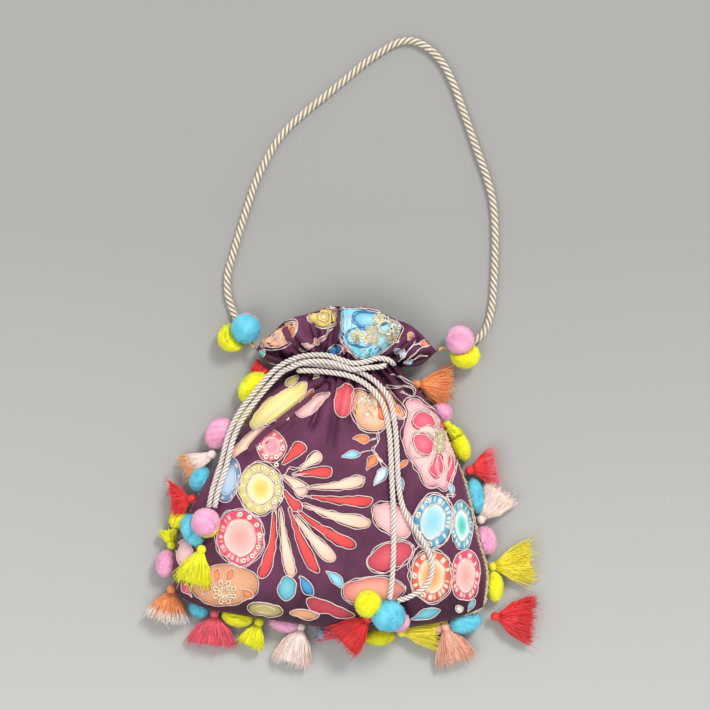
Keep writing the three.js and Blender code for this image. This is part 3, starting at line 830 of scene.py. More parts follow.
@dataclass
class Tassel:
    """A skein of threads bound at its head, lying on its side and fanned out."""

    node: str
    yarn: Yarn
    at: Place
    angle: float
    length: float
    wide: float
    thick: float
    fall: float = 4.0
    strays: int = 5
    mess: float = 1.0
    tips: Yarn | None = None
    threads: int = 250
    points: int = 6
    head_rows: int = 26
    core_rows: int = 12
    core_sides: int = 14

    def frame_of(self) -> Array:
        """The tassel's own axes in the bag's frame: across, along and up."""
        turn, drop = math.radians(self.angle), math.radians(self.fall)
        along_ = np.array([math.cos(turn) * math.cos(drop), math.sin(turn) * math.cos(drop), -math.sin(drop)])
        across = np.array([math.sin(turn), -math.cos(turn), 0.0])
        return np.stack([across, along_, np.cross(across, along_)])

    def outline(self, share: Array) -> tuple[Array, Array]:
        """The skirt's half width and half thickness at shares of its length."""
        wide = along([(0, 2.6), (0.14, max(3.8, self.wide * 0.4)), (0.45, self.wide * 0.76),
                      (0.8, self.wide * 1.02), (1, self.wide * 1.1)], share)
        flat = along([(0, 1.0), (0.6, self.thick / self.wide)], share)
        return wide, wide * flat

    def build(self, material: Material, rng: Rng) -> Piece:
        """Makes the head, the core of the skirt and its threads."""
        mesh = MeshPlan()
        body, tip = np.array(linear(self.yarn.body)), np.array(linear(self.yarn.tip))
        self.add_head(mesh, body, tip)
        self.add_core(mesh, body * 0.6 + tip * 0.36)
        for k in range(self.threads + self.strays):
            self.add_thread(mesh, body, tip, rng, stray=k >= self.threads)
        piece = mesh.build(self.node + "_thread", material, self.yarn.slot)
        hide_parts(self.node)
        return piece

    def put(self, local: Array) -> Array:
        """Places points given across, along and up in the tassel's own axes."""
        placed = np.array(self.at) + local @ self.frame_of()
        placed[..., 2] = np.maximum(placed[..., 2], 0.3)
        return placed

    def add_head(self, mesh: MeshPlan, body: Array, tip: Array) -> None:
        """The bound head, with a ridge for each turn of the binding."""
        share = np.linspace(0, 1, self.head_rows)
        local = np.zeros((self.head_rows, 3))
        local[:, 1] = -3.4 + 6.4 * share
        radius = 3.3 * np.sqrt(np.clip(1 - (1.75 * share - 0.93) ** 2, 0.03, 1))
        radius = np.maximum(radius, 2.0 * smooth(0.7, 0.95, share))
        ridge = 1 - 0.1 * np.abs(np.cos(share * np.pi * 8)) * (share > 0.55)
        tube(mesh, self.put(local), radius * ridge, 16, body * 0.5 + tip * 0.4)

    def add_core(self, mesh: MeshPlan, tint: Array) -> None:
        """The solid middle of the skirt, so that no light shows through it."""
        share = np.linspace(0, 0.9, self.core_rows)
        wide, thick = self.outline(share)
        turn = np.linspace(0, 2 * np.pi, self.core_sides, endpoint=False)
        ripple = 1 + 0.05 * np.sin(turn * 5)
        local = np.stack([
            0.86 * wide[:, None] * (np.cos(turn) * ripple)[None],
            np.repeat((2.4 + (self.length - 2.4) * share)[:, None], self.core_sides, axis=1),
            0.78 * thick[:, None] * (np.sin(turn) * ripple)[None],
        ], axis=-1)
        local[..., 0] *= -1
        start = mesh.count
        placed = self.put(local)
        mesh.grid(placed, tint, wrap=True)
        cap_ends(mesh, start, self.core_rows, self.core_sides, placed.mean(axis=1), tint)

    def add_thread(self, mesh: MeshPlan, body: Array, tip: Array, rng: Rng, stray: bool) -> None:
        """One thread of the skirt from the head to its cut end."""
        share = np.linspace(0, 1, self.points)
        spot = rng.normal(size=2)
        spot *= rng.uniform(0.6, 1.0) ** 0.5 / np.linalg.norm(spot)
        reach = rng.uniform(0.84, 1.05) if not stray else rng.uniform(1.0, 1.25)
        wide, thick = self.outline(share)
        spread = 1.0 if not stray else 1.25
        bend = rng.normal(0, 0.055 * self.mess * self.wide * (2.0 if stray else 1.0), 2)
        wave = rng.normal(0, 0.25 * self.mess * (2.6 if stray else 1.0), (2, self.points)) * share
        local = np.stack([
            spot[0] * wide * spread + bend[0] * share**2 + wave[0],
            2.0 + (self.length * reach - 2.0) * share,
            spot[1] * thick + bend[1] * 0.4 * share**2 + wave[1] * 0.5,
        ], axis=-1)
        radius = 0.29 * (1 - 0.5 * share**3)
        light = rng.uniform(0, 1)
        colour = (body * (1 - light) + tip * light) * rng.uniform(0.92, 1.14)
        if self.tips:
            mixed = smooth(0.55, 0.85, share)[:, None]
            colour = colour * (1 - mixed) + np.array(linear(self.tips.tip)) * mixed
        else:
            colour = np.tile(colour, (self.points, 1))
        tube(mesh, self.put(local), radius, 3, np.repeat(colour, 3, axis=0))


# ---- Cloth ----------------------------------------------------------------------------------

# The outline in plan: both sides from the hem up, then the hem and the rim from left to right
LEFT_EDGE = [(-104, -64), (-106, -46), (-100, -24), (-91, -2), (-79, 20), (-63, 41), (-50, 62),
             (-38, 81), (-30, 92), (-39, 97), (-48, 105)]
RIGHT_EDGE = [(110, -74), (112, -50), (106, -27), (100, 0), (94, 22), (86, 43), (76, 64),
              (62, 81), (53, 92), (66, 94), (78, 104)]
HEM = [(-104, -64), (-88, -73), (-62, -79), (-35, -83), (0, -88), (38, -90), (66, -87), (90, -82),
       (110, -74)]
RIM = [(-48, 105), (-40, 114), (-28, 123), (-13, 130), (3, 134), (18, 135), (34, 133), (50, 126),
       (66, 117), (78, 104)]
# By share of the way from hem to rim: the heights of front and back over the middle, and the power that
# squares the section off between the seams
CROWN = [(0, 43), (0.25, 43), (0.4, 45), (0.55, 43), (0.69, 35), (0.77, 25), (0.87, 25), (1, 29)]
BELLY = [(0, -8), (0.6, -8), (0.77, 2), (1, 2)]
FULLNESS = [(0, 2.4), (0.6, 2.4), (0.8, 4), (1, 2.6)]
CLOTH_WIDE, CLOTH_HIGH = 250, 240
TIE_Y = 95.0


@dataclass(frozen=True)
class Crease:
    """A fold pressed into the cloth along a line, with a lip raised on each side of it."""

    route: tuple[Point, ...]
    width: float
    depth: float
    lip: float = 0.35
    start: float = 0.15
    stop: float = 0.75

    def height(self, spots: Array) -> Array:
        """How far the cloth stands up or down at each plan position."""
        gap, share = near_line(np.array(self.route, float), spots)
        fade = smooth(-0.001, self.start, share) * (1 - smooth(self.stop, 1.0, share))
        valley = -np.exp(-((gap / self.width) ** 2))
        lips = self.lip * np.exp(-(((gap - 1.75 * self.width) / (0.75 * self.width)) ** 2))
        return self.depth * fade * (valley + lips)


def near_line(line: Array, spots: Array) -> tuple[Array, Array]:
    """The distance from each spot to a line, and the share of the line where it is nearest."""
    best = np.full(spots.shape[:-1], 1e9)
    share = np.zeros(spots.shape[:-1])
    for k, (a, b) in enumerate(zip(line, line[1:])):
        along_ = b - a
        t = np.clip(((spots - a) @ along_) / (along_ @ along_), 0, 1)
        gap = np.linalg.norm(spots - a - t[..., None] * along_, axis=-1)
        near = gap < best
        best = np.where(near, gap, best)
        share = np.where(near, (k + t) / (len(line) - 1), share)
    return best, share


FOLDS = (
    Crease(((4, 82), (-4, 77), (-23, 62), (-43, 46), (-58, 30)), 3.0, 6.4, 0.35, 0.08, 0.85),
    Crease(((-12, 92), (-24, 86), (-40, 76), (-52, 65)), 2.4, 4.0, 0.3, 0.1),
    Crease(((-2, 90), (-8, 86), (-13, 84)), 2.0, 3.4, 0.4, 0.05),
    Crease(((9, 140), (9.4, 128), (9, 118), (7, 108), (8, 98)), 2.3, 7.5, 0.4, 0.01, 0.75),
    Crease(((-30, 124), (-25, 113), (-14, 103), (-8, 96)), 3.2, 5.4, 0.4, 0.1),
    Crease(((-9, 128), (-5, 112), (0, 98)), 2.6, 4.4, 0.35),
    Crease(((-46, 107), (-32, 102), (-16, 97)), 2.6, 4.4, 0.4),
    Crease(((2, 118), (1, 108), (4, 98)), 1.8, 3.6, 0.4),
    Crease(((22, 116), (22, 106), (20, 97)), 2.0, 3.4, 0.4),
    Crease(((52, 122), (44, 108), (34, 97)), 2.6, 4.2, 0.45),
    Crease(((66, 115), (54, 105), (41, 97)), 2.4, 4.4, 0.45),
    Crease(((76, 103), (60, 98), (46, 94)), 2.4, 5.0, 0.4),
    Crease(((12, 89), (10, 74), (6, 52), (3, 30)), 3.2, 2.4, 0.4),
    Crease(((22, 88), (19, 72), (14, 50)), 2.6, 2.8, 0.4),
    Crease(((31, 87), (31, 72), (30, 56)), 2.4, 2.8, 0.4),
    Crease(((40, 88), (47, 74), (54, 62)), 2.4, 4.2, 0.45, 0.05),
    Crease(((48, 89), (58, 78), (68, 68)), 2.2, 4.2, 0.45, 0.05),
    Crease(((5, 88), (0, 76), (-6, 60), (-12, 44)), 2.4, 3.0, 0.4),
    Crease(((-24, 90), (-34, 80), (-44, 72)), 1.8, 2.4, 0.4),
    Crease(((70, 60), (56, 40), (50, 18), (52, -6)), 7.0, 1.6, 0.4),
    Crease(((-60, 30), (-40, 8), (-30, -20), (-34, -44)), 8.0, 1.2, 0.4),
    Crease(((90, 20), (70, 0), (62, -30), (66, -60)), 7.0, 1.4, 0.4),
    Crease(((-90, -10), (-78, -30), (-74, -56)), 5.0, 1.6, 0.4),
    Crease(((-20, -86), (-16, -72), (-6, -60)), 4.0, 1.8, 0.3),
    Crease(((60, -86), (54, -74), (48, -60)), 4.0, 1.8, 0.3),
    Crease(((-60, -82), (-52, -70), (-48, -58)), 4.0, 1.6, 0.3),
    Crease(((100, -84), (90, -72), (84, -62)), 4.0, 1.8, 0.3),
    Crease(((12, -30), (14, -52), (8, -74)), 7.0, 1.2, 0.4),
)


def gathers(rng: Rng) -> list[Crease]:
    """Short tucks on both sides of the drawstrings, fanning out from the neck."""
    tucks = []
    top = TIE_Y - 1
    for k in range(15):
        x = -25 + 5.4 * k + rng.uniform(-1, 1)
        lean = (x - 12) * 0.45 + rng.uniform(-2, 2)
        long = rng.uniform(13, 25)
        tucks.append(Crease(((x, TIE_Y), (x + lean * 0.4, TIE_Y - long * 0.5), (x + lean, TIE_Y - long)),
                            rng.uniform(1.1, 1.7), rng.uniform(2.2, 4.2), 0.4, 0.02, 0.35))
        long = rng.uniform(11, 21)
        tucks.append(Crease(((x, top), (x + lean * 0.3, top + long * 0.5), (x + lean * 0.8, top + long)),
                            rng.uniform(1.1, 1.7), rng.uniform(2.0, 3.8), 0.4, 0.02, 0.35))
    return tucks


@dataclass
class BagShape:
    """The outline and the heights that the bag's cloth follows."""

    seam_z: float = 15.0
    neck_seam_z: float = 13.0
    seam_half: float = 0.5
    hem_round: float = 0.3
    neck: float = 0.8
    edges: tuple[Spline, ...] = field(
        default_factory=lambda: tuple(Spline(p) for p in (LEFT_EDGE, RIGHT_EDGE, HEM, RIM)))

    def plan(self, u: Array, v: Array) -> Array:
        """Plan positions: u from the left edge to the right, v from the hem to the rim."""
        left, right, hem, rim = self.edges
        base = left.at(v) * (1 - u[..., None]) + right.at(v) * u[..., None]
        hem_share = (1 - np.clip(v / 0.6, 0, 1)) ** 2
        rise = np.clip((v - self.neck) / (1 - self.neck), 0, 1)
        rim_share = smooth(self.neck, 1, v) * 0.45 + rise * 0.55
        both = base + self.bow(hem, u) * hem_share[..., None] + self.bow(rim, u) * rim_share[..., None]
        return both[..., :2]

    @staticmethod
    def bow(curve: Spline, u: Array) -> Array:
        """How far a cross curve stands off the straight line between its ends."""
        ends = curve.at(np.array([0.0, 1.0]))
        return curve.at(u) - (ends[0] * (1 - u[..., None]) + ends[1] * u[..., None])

    def seam(self, v: Array) -> Array:
        """The height of the side seams."""
        return self.seam_z + (self.neck_seam_z - self.seam_z) * smooth(0.6, self.neck, v)

    def swell(self, u: Array, v: Array) -> Array:
        """0 at the seams and the hem, 1 over the middle of the bag."""
        across = np.sqrt(np.maximum(0, 1 - np.abs(2 * u - 1) ** along(FULLNESS, v)))
        start = np.sqrt(1 - (1 - np.minimum(1, v / self.hem_round)) ** 2.6)
        return across * start

    def front(self, u: Array, v: Array) -> Array:
        """The height of the front's outer face."""
        low = self.seam(v) + self.seam_half
        return low + (along(CROWN, v) - low) * self.swell(u, v)

    def back(self, u: Array, v: Array, lift: float = 0.0) -> Array:
        """The height of the back's outer face, no lower than lift."""
        high = self.seam(v) - self.seam_half
        return np.maximum(lift, high + (along(BELLY, v) - high) * self.swell(u, v))


def normals_of(sheet: Array) -> Array:
    """Unit directions off a grid of points."""
    across = np.gradient(sheet, axis=1)
    down = np.gradient(sheet, axis=0)
    out = np.cross(across, down)
    return out / np.maximum(np.linalg.norm(out, axis=-1, keepdims=True), 1e-9)


def shell(mesh: MeshPlan, outer: Array, inner: Array, lay: Array,
          shut: Array | None = None, tint: Array | None = None) -> None:
    """Adds a closed sheet of cloth between two skins.

    Args:
        mesh: What it is added to.
        outer: The skin that faces out, rows by columns by three.
        inner: The other skin.
        lay: Lay coordinates, rows by columns by two.
        shut: Which cells hold cloth, all of them if it is None.
        tint: The painted shade at each point as a brightness, 1 everywhere if it is None.
    """
    rows, cols = outer.shape[:2]
    shut = np.ones((rows - 1, cols - 1), bool) if shut is None else shut
    j, i = np.nonzero(shut)

    def at(row: Array, column: Array) -> Array:
        """The index of the points at rows and columns."""
        return row * cols + column

    ring = np.stack([at(j, i), at(j, i + 1), at(j + 1, i + 1), at(j + 1, i)], axis=1)
    faces = [ring, ring[:, ::-1] + rows * cols]
    padded = np.pad(shut, 1)
    # For each side of a cell: the way over it to the next cell, then the two corners of the edge
    for dj, di, a, b in ((-1, 0, (0, 1), (0, 0)), (1, 0, (1, 0), (1, 1)),
                         (0, -1, (0, 0), (1, 0)), (0, 1, (1, 1), (0, 1))):
        open_ = shut & ~padded[1 + dj:rows + dj, 1 + di:cols + di]
        j, i = np.nonzero(open_)
        first, second = at(j + a[0], i + a[1]), at(j + b[0], i + b[1])
        faces.append(np.stack([first, second, second + rows * cols, first + rows * cols], axis=1))
    faces = np.concatenate(faces)
    points = np.concatenate([outer.reshape(-1, 3), inner.reshape(-1, 3)])
    used = np.unique(faces)
    index = np.full(len(points), -1)
    index[used] = np.arange(len(used))
    bright = np.ones(outer.shape[:2]) if tint is None else tint
    tints = np.repeat(np.tile(bright.reshape(-1), 2)[used, None], 3, axis=1)
    mesh.add(points[used], index[faces], tints, np.concatenate([lay.reshape(-1, 2)] * 2)[faces])


@dataclass
class Pouch:
    """The two panels of outer silk and the lining inside them.

    A mesh is given as its columns, its rows near the hem and its rows above them.
    """

    shape: BagShape
    front_mesh: tuple[int, int, int] = (168, 44, 132)
    back_mesh: tuple[int, int, int] = (84, 22, 64)
    lining_mesh: tuple[int, int, int] = (56, 11, 44)
    cloth: float = 0.7
    lift: float = 0.75
    lining: float = 0.45
    lining_hem: float = 0.04
    mouth: float = 0.985
    slits: tuple[tuple[float, float, float, float], ...] = (
        (47.3, 95.3, 3.4, 2.4), (40.6, 94.6, 2.4, 1.6), (-24.8, 92.4, 3.4, 2.4), (-17.2, 90.8, 2.2, 1.6))
    depth: Array | None = None
    surface: BVHTree | None = None
    under: BVHTree | None = None

    def grid(self, columns: int, near_hem: int, rows: int, top: float = 1.0) -> list[Array]:
        """The u and v of a grid that is finer towards the seams and the hem."""
        u = (1 - np.cos(np.pi * np.arange(columns + 1) / columns)) / 2
        bend = self.shape.hem_round
        v = np.concatenate([bend * np.linspace(0, 1, near_hem) ** 1.8,
                            np.linspace(bend, top, rows)[1:]])
        return np.meshgrid(u, v)

    def folded(self, u: Array, v: Array, rng: Rng) -> Array:
        """The front's outer skin with its folds, tucks and puffs."""
        spots = self.shape.plan(u, v)
        z = self.shape.front(u, v)
        free = np.minimum(1, self.shape.swell(u, v) * 1.6)
        pressed = sum(crease.height(spots) for crease in (*FOLDS, *gathers(rng)))
        z = z + pressed * free
        self.depth = np.maximum(0, -pressed)
        x, y = spots[..., 0], spots[..., 1]
        puff = 0.35 * np.sin(x / 9.1 + 0.6 * np.sin(y / 13)) * np.sin(y / 11.3 + 0.8 * np.sin(x / 17))
        ripple = 0.16 * np.sin(x / 3.1 + np.sin(y / 7.3) * 1.4) * smooth(30, 90, y)
        z = z + (puff + ripple) * free
        rise = smooth(0.9, 1.0, v)
        z = z + rise * free * (1.5 * np.sin(x / 6.2 + 1.1) + 0.9 * np.sin(x / 3.7))
        return np.stack([x, y + 0.9 * rise * np.sin(x / 4.3 + 0.5) * free, z], axis=-1)

    def build_front(self, material: Material, rng: Rng) -> Piece:
        """Makes the printed front panel."""
        u, v = self.grid(*self.front_mesh)
        outer = self.folded(u, v, rng)
        rim = smooth(0.985, 0.998, v)
        inner = outer - normals_of(outer) * (self.cloth * (1 + 0.7 * rim))[..., None]
        middle = (outer[1:, 1:, :2] + outer[:-1, :-1, :2]) / 2
        shut = np.ones(middle.shape[:2], bool)
        for x, y, rx, ry in self.slits:
            shut &= ((middle[..., 0] - x) / rx) ** 2 + ((middle[..., 1] - y) / ry) ** 2 > 1
        mesh = MeshPlan()
        shell(mesh, outer, inner, self.lay(u, v), shut, self.dye_and_painted_shade(outer[..., 1]))
        self.surface = skin_tree(outer)
        piece = mesh.build("front_cloth", material, "silk")
        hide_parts("front_panel")
        return piece

    def dye_and_painted_shade(self, y: Array) -> Array:
        """Painted shade as a brightness for each point: darker in the folds, at the neck and towards the hem.
        """
        # Painted shade along the neck, where the cloth gathers at the drawstrings
        neck = 1 - 0.5 * np.exp(-(((y - TIE_Y) / 8.5) ** 2))
        # Painted shade towards the hem
        hem = 1 - 0.58 * smooth(44, 84, -y)
        # Painted shade in the folds, darker where they are deeper
        return (1 - 0.68 * np.clip(self.depth / 3.6, 0, 1)) * neck * hem

    def build_back(self, material: Material) -> Piece:
        """Makes the back panel, flat where the bag lies on it."""
        u, v = self.grid(*self.back_mesh)
        spots = self.shape.plan(u, v)
        z = self.shape.back(u, v, self.lift)
        free = np.minimum(1, self.shape.swell(u, v) * 1.5)
        x, y = spots[..., 0], spots[..., 1]
        hang = smooth(self.lift, 6, z)
        z = z + free * hang * 0.5 * np.sin(x / 7.3 + np.sin(y / 12))
        tuck = np.exp(-(((y - TIE_Y) / 13) ** 2))
        z = z + free * tuck * (0.9 + 0.9 * np.sin(x / 1.9 + 0.3 * np.sin(y / 6)))
        outer = np.stack([x, y, np.maximum(z, self.lift)], axis=-1)
        inner = outer + normals_of(outer) * self.cloth
        mesh = MeshPlan()
        shell(mesh, inner, outer, self.lay(u, v))
        self.under = skin_tree(outer)
        piece = mesh.build("back_cloth", material, "silk")
        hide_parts("back_panel")
        return piece

    def build_lining(self, material: Material) -> Piece:
        """Makes the inner bag, closed at its sides and hem and open at the mouth."""
        u, v = self.grid(*self.lining_mesh, self.mouth)
        v = np.minimum(self.lining_hem + v * (1 - self.lining_hem), self.mouth)
        inset = 0.03 + 0.13 * smooth(0.6, 0.75, v) - 0.08 * smooth(0.87, 0.96, v)
        across = inset + (1 - 2 * inset) * u
        placed = self.shape.plan(across, v)
        clear = 2.9 + 3.6 * (smooth(0.62, 0.74, v) - smooth(0.87, 0.95, v))
        shut = np.minimum(1, self.shape.swell(u, np.clip(v - self.lining_hem, 0, 1)) * 2)
        seam = self.shape.seam(v)
        front = seam + (self.shape.front(across, v) - clear - seam) * shut
        back = seam + (self.shape.back(across, v, self.lift) + clear - 1 - seam) * shut
        mesh = MeshPlan()
        for height in (front, back):
            skins = [np.concatenate([placed, z[..., None]], axis=-1) for z in (height + self.lining, height)]
            shell(mesh, *skins, self.lay(u, v))
        piece = mesh.build("inner_lining", material, "lining")
        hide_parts("lining")
        return piece

    @staticmethod
    def lay(u: Array, v: Array) -> Array:
        """Lay coordinates in millimetres of cloth."""
        return np.stack([u * CLOTH_WIDE, v * CLOTH_HIGH], axis=-1)


def skin_tree(skin: Array) -> BVHTree:
    """A skin of points ready to be met by rays."""
    faces, _ = grid_faces(*skin.shape[:2], False, False)
    return BVHTree.FromPolygons(skin.reshape(-1, 3).tolist(), faces.tolist())


# ---- Print and embroidery -------------------------------------------------------------------

SILVER = (236, 214, 208)
GILT = (206, 178, 128)
TEAL_THREAD = (70, 140, 190)
SEQUIN = (248, 230, 208)
LOOP_COLOURS = ((255, 250, 232), (236, 218, 176))
STITCH = 0.62
GIMP_CORDS = ((0.0, (222, 208, 180)), (np.pi, (196, 178, 148)))
GIMP_EDGE = (210, 190, 150)


class Side(Enum):
    """Which panel a motif is on."""

    FRONT = "front"
    BACK = "back"


@dataclass
class Ground:
    """A panel's surface that print and thread lie on."""

    side: Side
    tree: BVHTree
    shift: float = 6.0
    above: float = 90.0
    below: float = -50.0

    def lay_on(self, spots: Array, lift: Array) -> tuple[Array, Array]:
        """Puts plan positions on the cloth.

        Args:
            spots: Plan positions, one to a row.
            lift: How far off the cloth each stands.

        Returns:
            The places, and which of them met the cloth.
        """
        lift = np.broadcast_to(lift, len(spots))
        down = self.side is Side.FRONT
        x = spots[:, 0] if down else self.shift - spots[:, 0]
        way = Vector((0, 0, -1.0 if down else 1.0))
        start = self.above if down else self.below
        places = np.zeros((len(spots), 3))
        met = np.zeros(len(spots), bool)
        for k, (px, py) in enumerate(zip(x, spots[:, 1])):
            hit, normal, _, _ = self.tree.ray_cast(Vector((px, py, start)), way)
            if hit is None:
                continue
            normal = normal if normal.dot(way) < 0 else -normal
            places[k] = hit + normal * float(lift[k])
            met[k] = True
        return places, met


PALETTES: dict[str, list[tuple[float, Colour]]] = {
    "sun": [(0, (246, 196, 70)), (0.25, (248, 210, 110)), (0.48, (250, 232, 178)), (0.6, (244, 226, 180)),
            (0.64, (150, 118, 84)), (0.69, (216, 204, 128)), (0.95, (204, 192, 112)), (1, (186, 170, 92))],
    "pink_egg": [(0, (246, 154, 150)), (0.4, (250, 180, 170)), (0.6, (250, 196, 188)),
                 (0.65, (250, 232, 222)), (0.71, (222, 70, 96)), (0.94, (212, 52, 88)), (1, (240, 120, 160))],
    "rose_egg": [(0, (250, 170, 176)), (0.3, (240, 140, 152)), (0.5, (248, 168, 172)), (0.6, (250, 222, 214)),
                 (0.67, (224, 98, 108)), (1, (212, 84, 98))],
    "sky_egg": [(0, (200, 216, 238)), (0.5, (172, 204, 232)), (0.62, (140, 188, 222)), (0.68, (96, 140, 172)),
                (1, (82, 126, 160))],
    "mosaic": [(0, (138, 204, 222)), (0.3, (154, 212, 226)), (0.55, (184, 224, 230)), (0.63, (236, 240, 238)),
               (0.69, (74, 166, 196)), (0.9, (64, 150, 186)), (1, (52, 134, 172))],
    "teal_egg": [(0, (60, 186, 170)), (0.3, (100, 212, 196)), (0.5, (206, 238, 232)), (0.6, (240, 242, 236)),
                 (0.69, (62, 164, 184)), (1, (48, 144, 170))],
    "amber": [(0, (246, 150, 84)), (0.35, (248, 176, 116)), (0.58, (250, 212, 170)), (0.64, (252, 236, 214)),
              (0.7, (224, 92, 50)), (1, (210, 76, 44))],
    "tan": [(0, (236, 172, 126)), (0.6, (228, 164, 118)), (1, (206, 144, 100))],
    "olive": [(0, (206, 190, 112)), (0.6, (190, 176, 100)), (1, (158, 146, 84))],
    "red": [(0, (232, 74, 64)), (0.7, (222, 52, 52)), (1, (200, 34, 46))],
    "deep_red": [(0, (198, 50, 66)), (0.7, (178, 30, 54)), (1, (146, 18, 46))],
    "crimson": [(0, (224, 96, 106)), (0.6, (208, 62, 82)), (1, (186, 42, 70))],
    "cream": [(0, (250, 222, 198)), (0.7, (242, 206, 182)), (1, (228, 184, 160))],
    "teal": [(0, (124, 206, 212)), (0.6, (92, 184, 198)), (1, (54, 146, 172))],
    "blue": [(0, (40, 168, 212)), (0.6, (22, 146, 200)), (1, (10, 112, 170))],
    "salmon": [(0, (244, 186, 162)), (0.55, (236, 158, 140)), (1, (212, 104, 100))],
    "pale": [(0, (248, 208, 204)), (0.6, (240, 192, 190)), (1, (224, 160, 164))],
    "rose": [(0, (240, 110, 132)), (0.6, (226, 78, 106)), (1, (202, 46, 84))],
    "orange": [(0, (246, 156, 92)), (0.6, (236, 128, 66)), (1, (214, 96, 46))],
    "peach": [(0, (252, 212, 168)), (0.6, (246, 190, 142)), (1, (230, 160, 112))],
    "yellow": [(0, (246, 226, 140)), (0.6, (238, 212, 122)), (1, (218, 186, 92))],
    "lemon": [(0, (246, 238, 172)), (0.6, (240, 228, 148)), (1, (216, 198, 110))],
    "ice": [(0, (170, 224, 240)), (0.6, (128, 206, 232)), (1, (84, 176, 214))],
    "cyan": [(0, (204, 244, 248)), (0.5, (166, 232, 242)), (1, (118, 208, 228))],
    "milk": [(0, (228, 244, 248)), (0.6, (196, 230, 242)), (1, (150, 206, 232))],
    "white": [(0, (246, 240, 228)), (1, (226, 214, 200))],
    "bloom": [(0, (252, 216, 204)), (0.6, (250, 204, 198)), (0.88, (246, 186, 188)), (1, (226, 128, 150))],
    "coral": [(0, (240, 104, 112)), (0.6, (230, 80, 94)), (1, (204, 50, 76))],
}


# Mesh spacing of a printed shape, along its edge and between its rings, and how deep its skin sinks
FRONT_MESH = (1.15, 1.8)
BACK_MESH = (1.8, 2.4)
SKIN_DEPTH = 0.7


@dataclass(frozen=True)
class Motif:
    """A field of colour on the cloth with lines of thread round it."""

    outline: tuple[Point, ...]
    palette: str
    lines: tuple[float, ...] = (1.04,)
    thread: Colour = SILVER
    blocks: Colour | None = None

    def edge(self, step: float) -> Array:
        """Plan positions round the outline, counter-clockwise."""
        points = Spline(list(self.outline), closed=True).even(step)[:-1, :2]
        x, y = points.T
        area = np.sum(x * np.roll(y, -1) - np.roll(x, -1) * y)
        return points if area > 0 else points[::-1]

    def paint(self, mesh: MeshPlan, ground: Ground, lift: float) -> None:
        """Adds the field of colour as a thin closed skin on the cloth."""
        front = ground.side is Side.FRONT
        along_edge, between_rings = FRONT_MESH if front else BACK_MESH
        edge = self.edge(along_edge)
        middle = edge.mean(axis=0)
        reach = np.linalg.norm(edge - middle, axis=1).max()
        rings = max(3, int(reach / between_rings))
        marks = {round(s, 3) for s, _ in PALETTES[self.palette]}
        marks |= set(np.round(np.linspace(0.05, 1, rings), 3))
        shares = np.array(sorted((s for s in marks if s >= 0.05), reverse=True))
        spots = middle + (edge - middle)[None] * shares[:, None, None]
        top, met = ground.lay_on(spots.reshape(-1, 2), lift)
        top, met = top.reshape(*spots.shape[:2], 3), met.reshape(spots.shape[:2])
        if not met[-1].all():
            return
        self.draw_in(top, met)
        sink = np.array([0, 0, -SKIN_DEPTH if front else SKIN_DEPTH])
        self.close_skin(mesh, top, top + sink, self.tints(shares, len(edge)))

    @staticmethod
    def draw_in(places: Array, met: Array) -> None:
        """Pulls what misses the cloth in to the last place that meets it, ring by ring."""
        for ring in range(len(met) - 2, -1, -1):
            missed = ~met[ring]
            places[ring, missed] = places[ring + 1, missed]

    def tints(self, shares: Array, count: int) -> Array:
        """The colours of the rings, from the outermost in."""
        marks = [s for s, _ in PALETTES[self.palette]]
        colours = np.array([linear(c) for _, c in PALETTES[self.palette]])
        rings = np.stack([np.interp(shares, marks, colours[:, k]) for k in range(3)], axis=1)
        rings = np.repeat(rings[:, None], count, axis=1)
        if self.blocks:
            outer = np.nonzero((shares > 0.74) & (shares < 0.93))[0]
            k = np.arange(count)
            picked = np.nonzero(np.sin(k * 1.7) + np.sin(k * 0.83 + count) > 0.25)[0]
            rings[np.ix_(outer, picked)] = linear(self.blocks)
        return rings.reshape(-1, 3)

    @staticmethod
    def close_skin(mesh: MeshPlan, top: Array, low: Array, tint: Array) -> None:
        """Adds a top and a coarser bottom grid of rings and the wall between them."""
        rings, count = top.shape[:2]
        start, under = mesh.count, mesh.count + rings * count
        low = low[::2]
        mesh.grid(top, tint, wrap=True)
        mesh.grid(low, tint.reshape(rings, count, 3)[::2].reshape(-1, 3), wrap=True, flip=True)
        k = np.arange(count)
        after = (k + 1) % count
        mesh.faces += np.stack([k + start, k + under, after + under, after + start], axis=1).tolist()
        top_hub, low_hub = k + start + (rings - 1) * count, k[::-1] + under + (len(low) - 1) * count
        mesh.faces += [top_hub.tolist(), low_hub.tolist()]
        mesh.lays.append(np.zeros((count * 6, 2)))

    def stitches(self, step: float) -> list[Array]:
        """The lines of thread, as closed plan paths."""
        edge = self.edge(step)
        middle = edge.mean(axis=0)
        way = np.roll(edge, -1, axis=0) - np.roll(edge, 1, axis=0)
        out = np.stack([way[:, 1], -way[:, 0]], axis=1) / np.linalg.norm(way, axis=1, keepdims=True)
        loops = []
        for share in self.lines:
            loop = middle + (edge - middle) * share if share < 0.9 else edge + out * (share - 1) * 10
            loops.append(np.vstack([loop, loop[:3]]))
        return loops


def egg(x: float, y: float, rx: float, ry: float, palette: str, angle: float = 0,
        lines: tuple[float, ...] = (1.0,), thread: Colour = SILVER, blocks: Colour | None = None) -> Motif:
    """An oval motif, a little uneven, with rx across and ry up before it is turned."""
    cos, sin = math.cos(math.radians(angle)), math.sin(math.radians(angle))
    places = []
    for k in range(12):
        turn, uneven = k * math.pi / 6, 1 + 0.025 * math.sin(k * 2.4 + x)
        a, b = rx * math.cos(turn) * uneven, ry * math.sin(turn) * uneven
        places.append((x + a * cos - b * sin, y + a * sin + b * cos))
    return Motif(tuple(places), palette, lines, thread, blocks)


CLUB_WIDTHS = [(0.0, 0.1), (0.15, 0.3), (0.35, 0.5), (0.55, 0.76), (0.75, 1.0), (0.88, 0.96), (0.97, 0.6)]


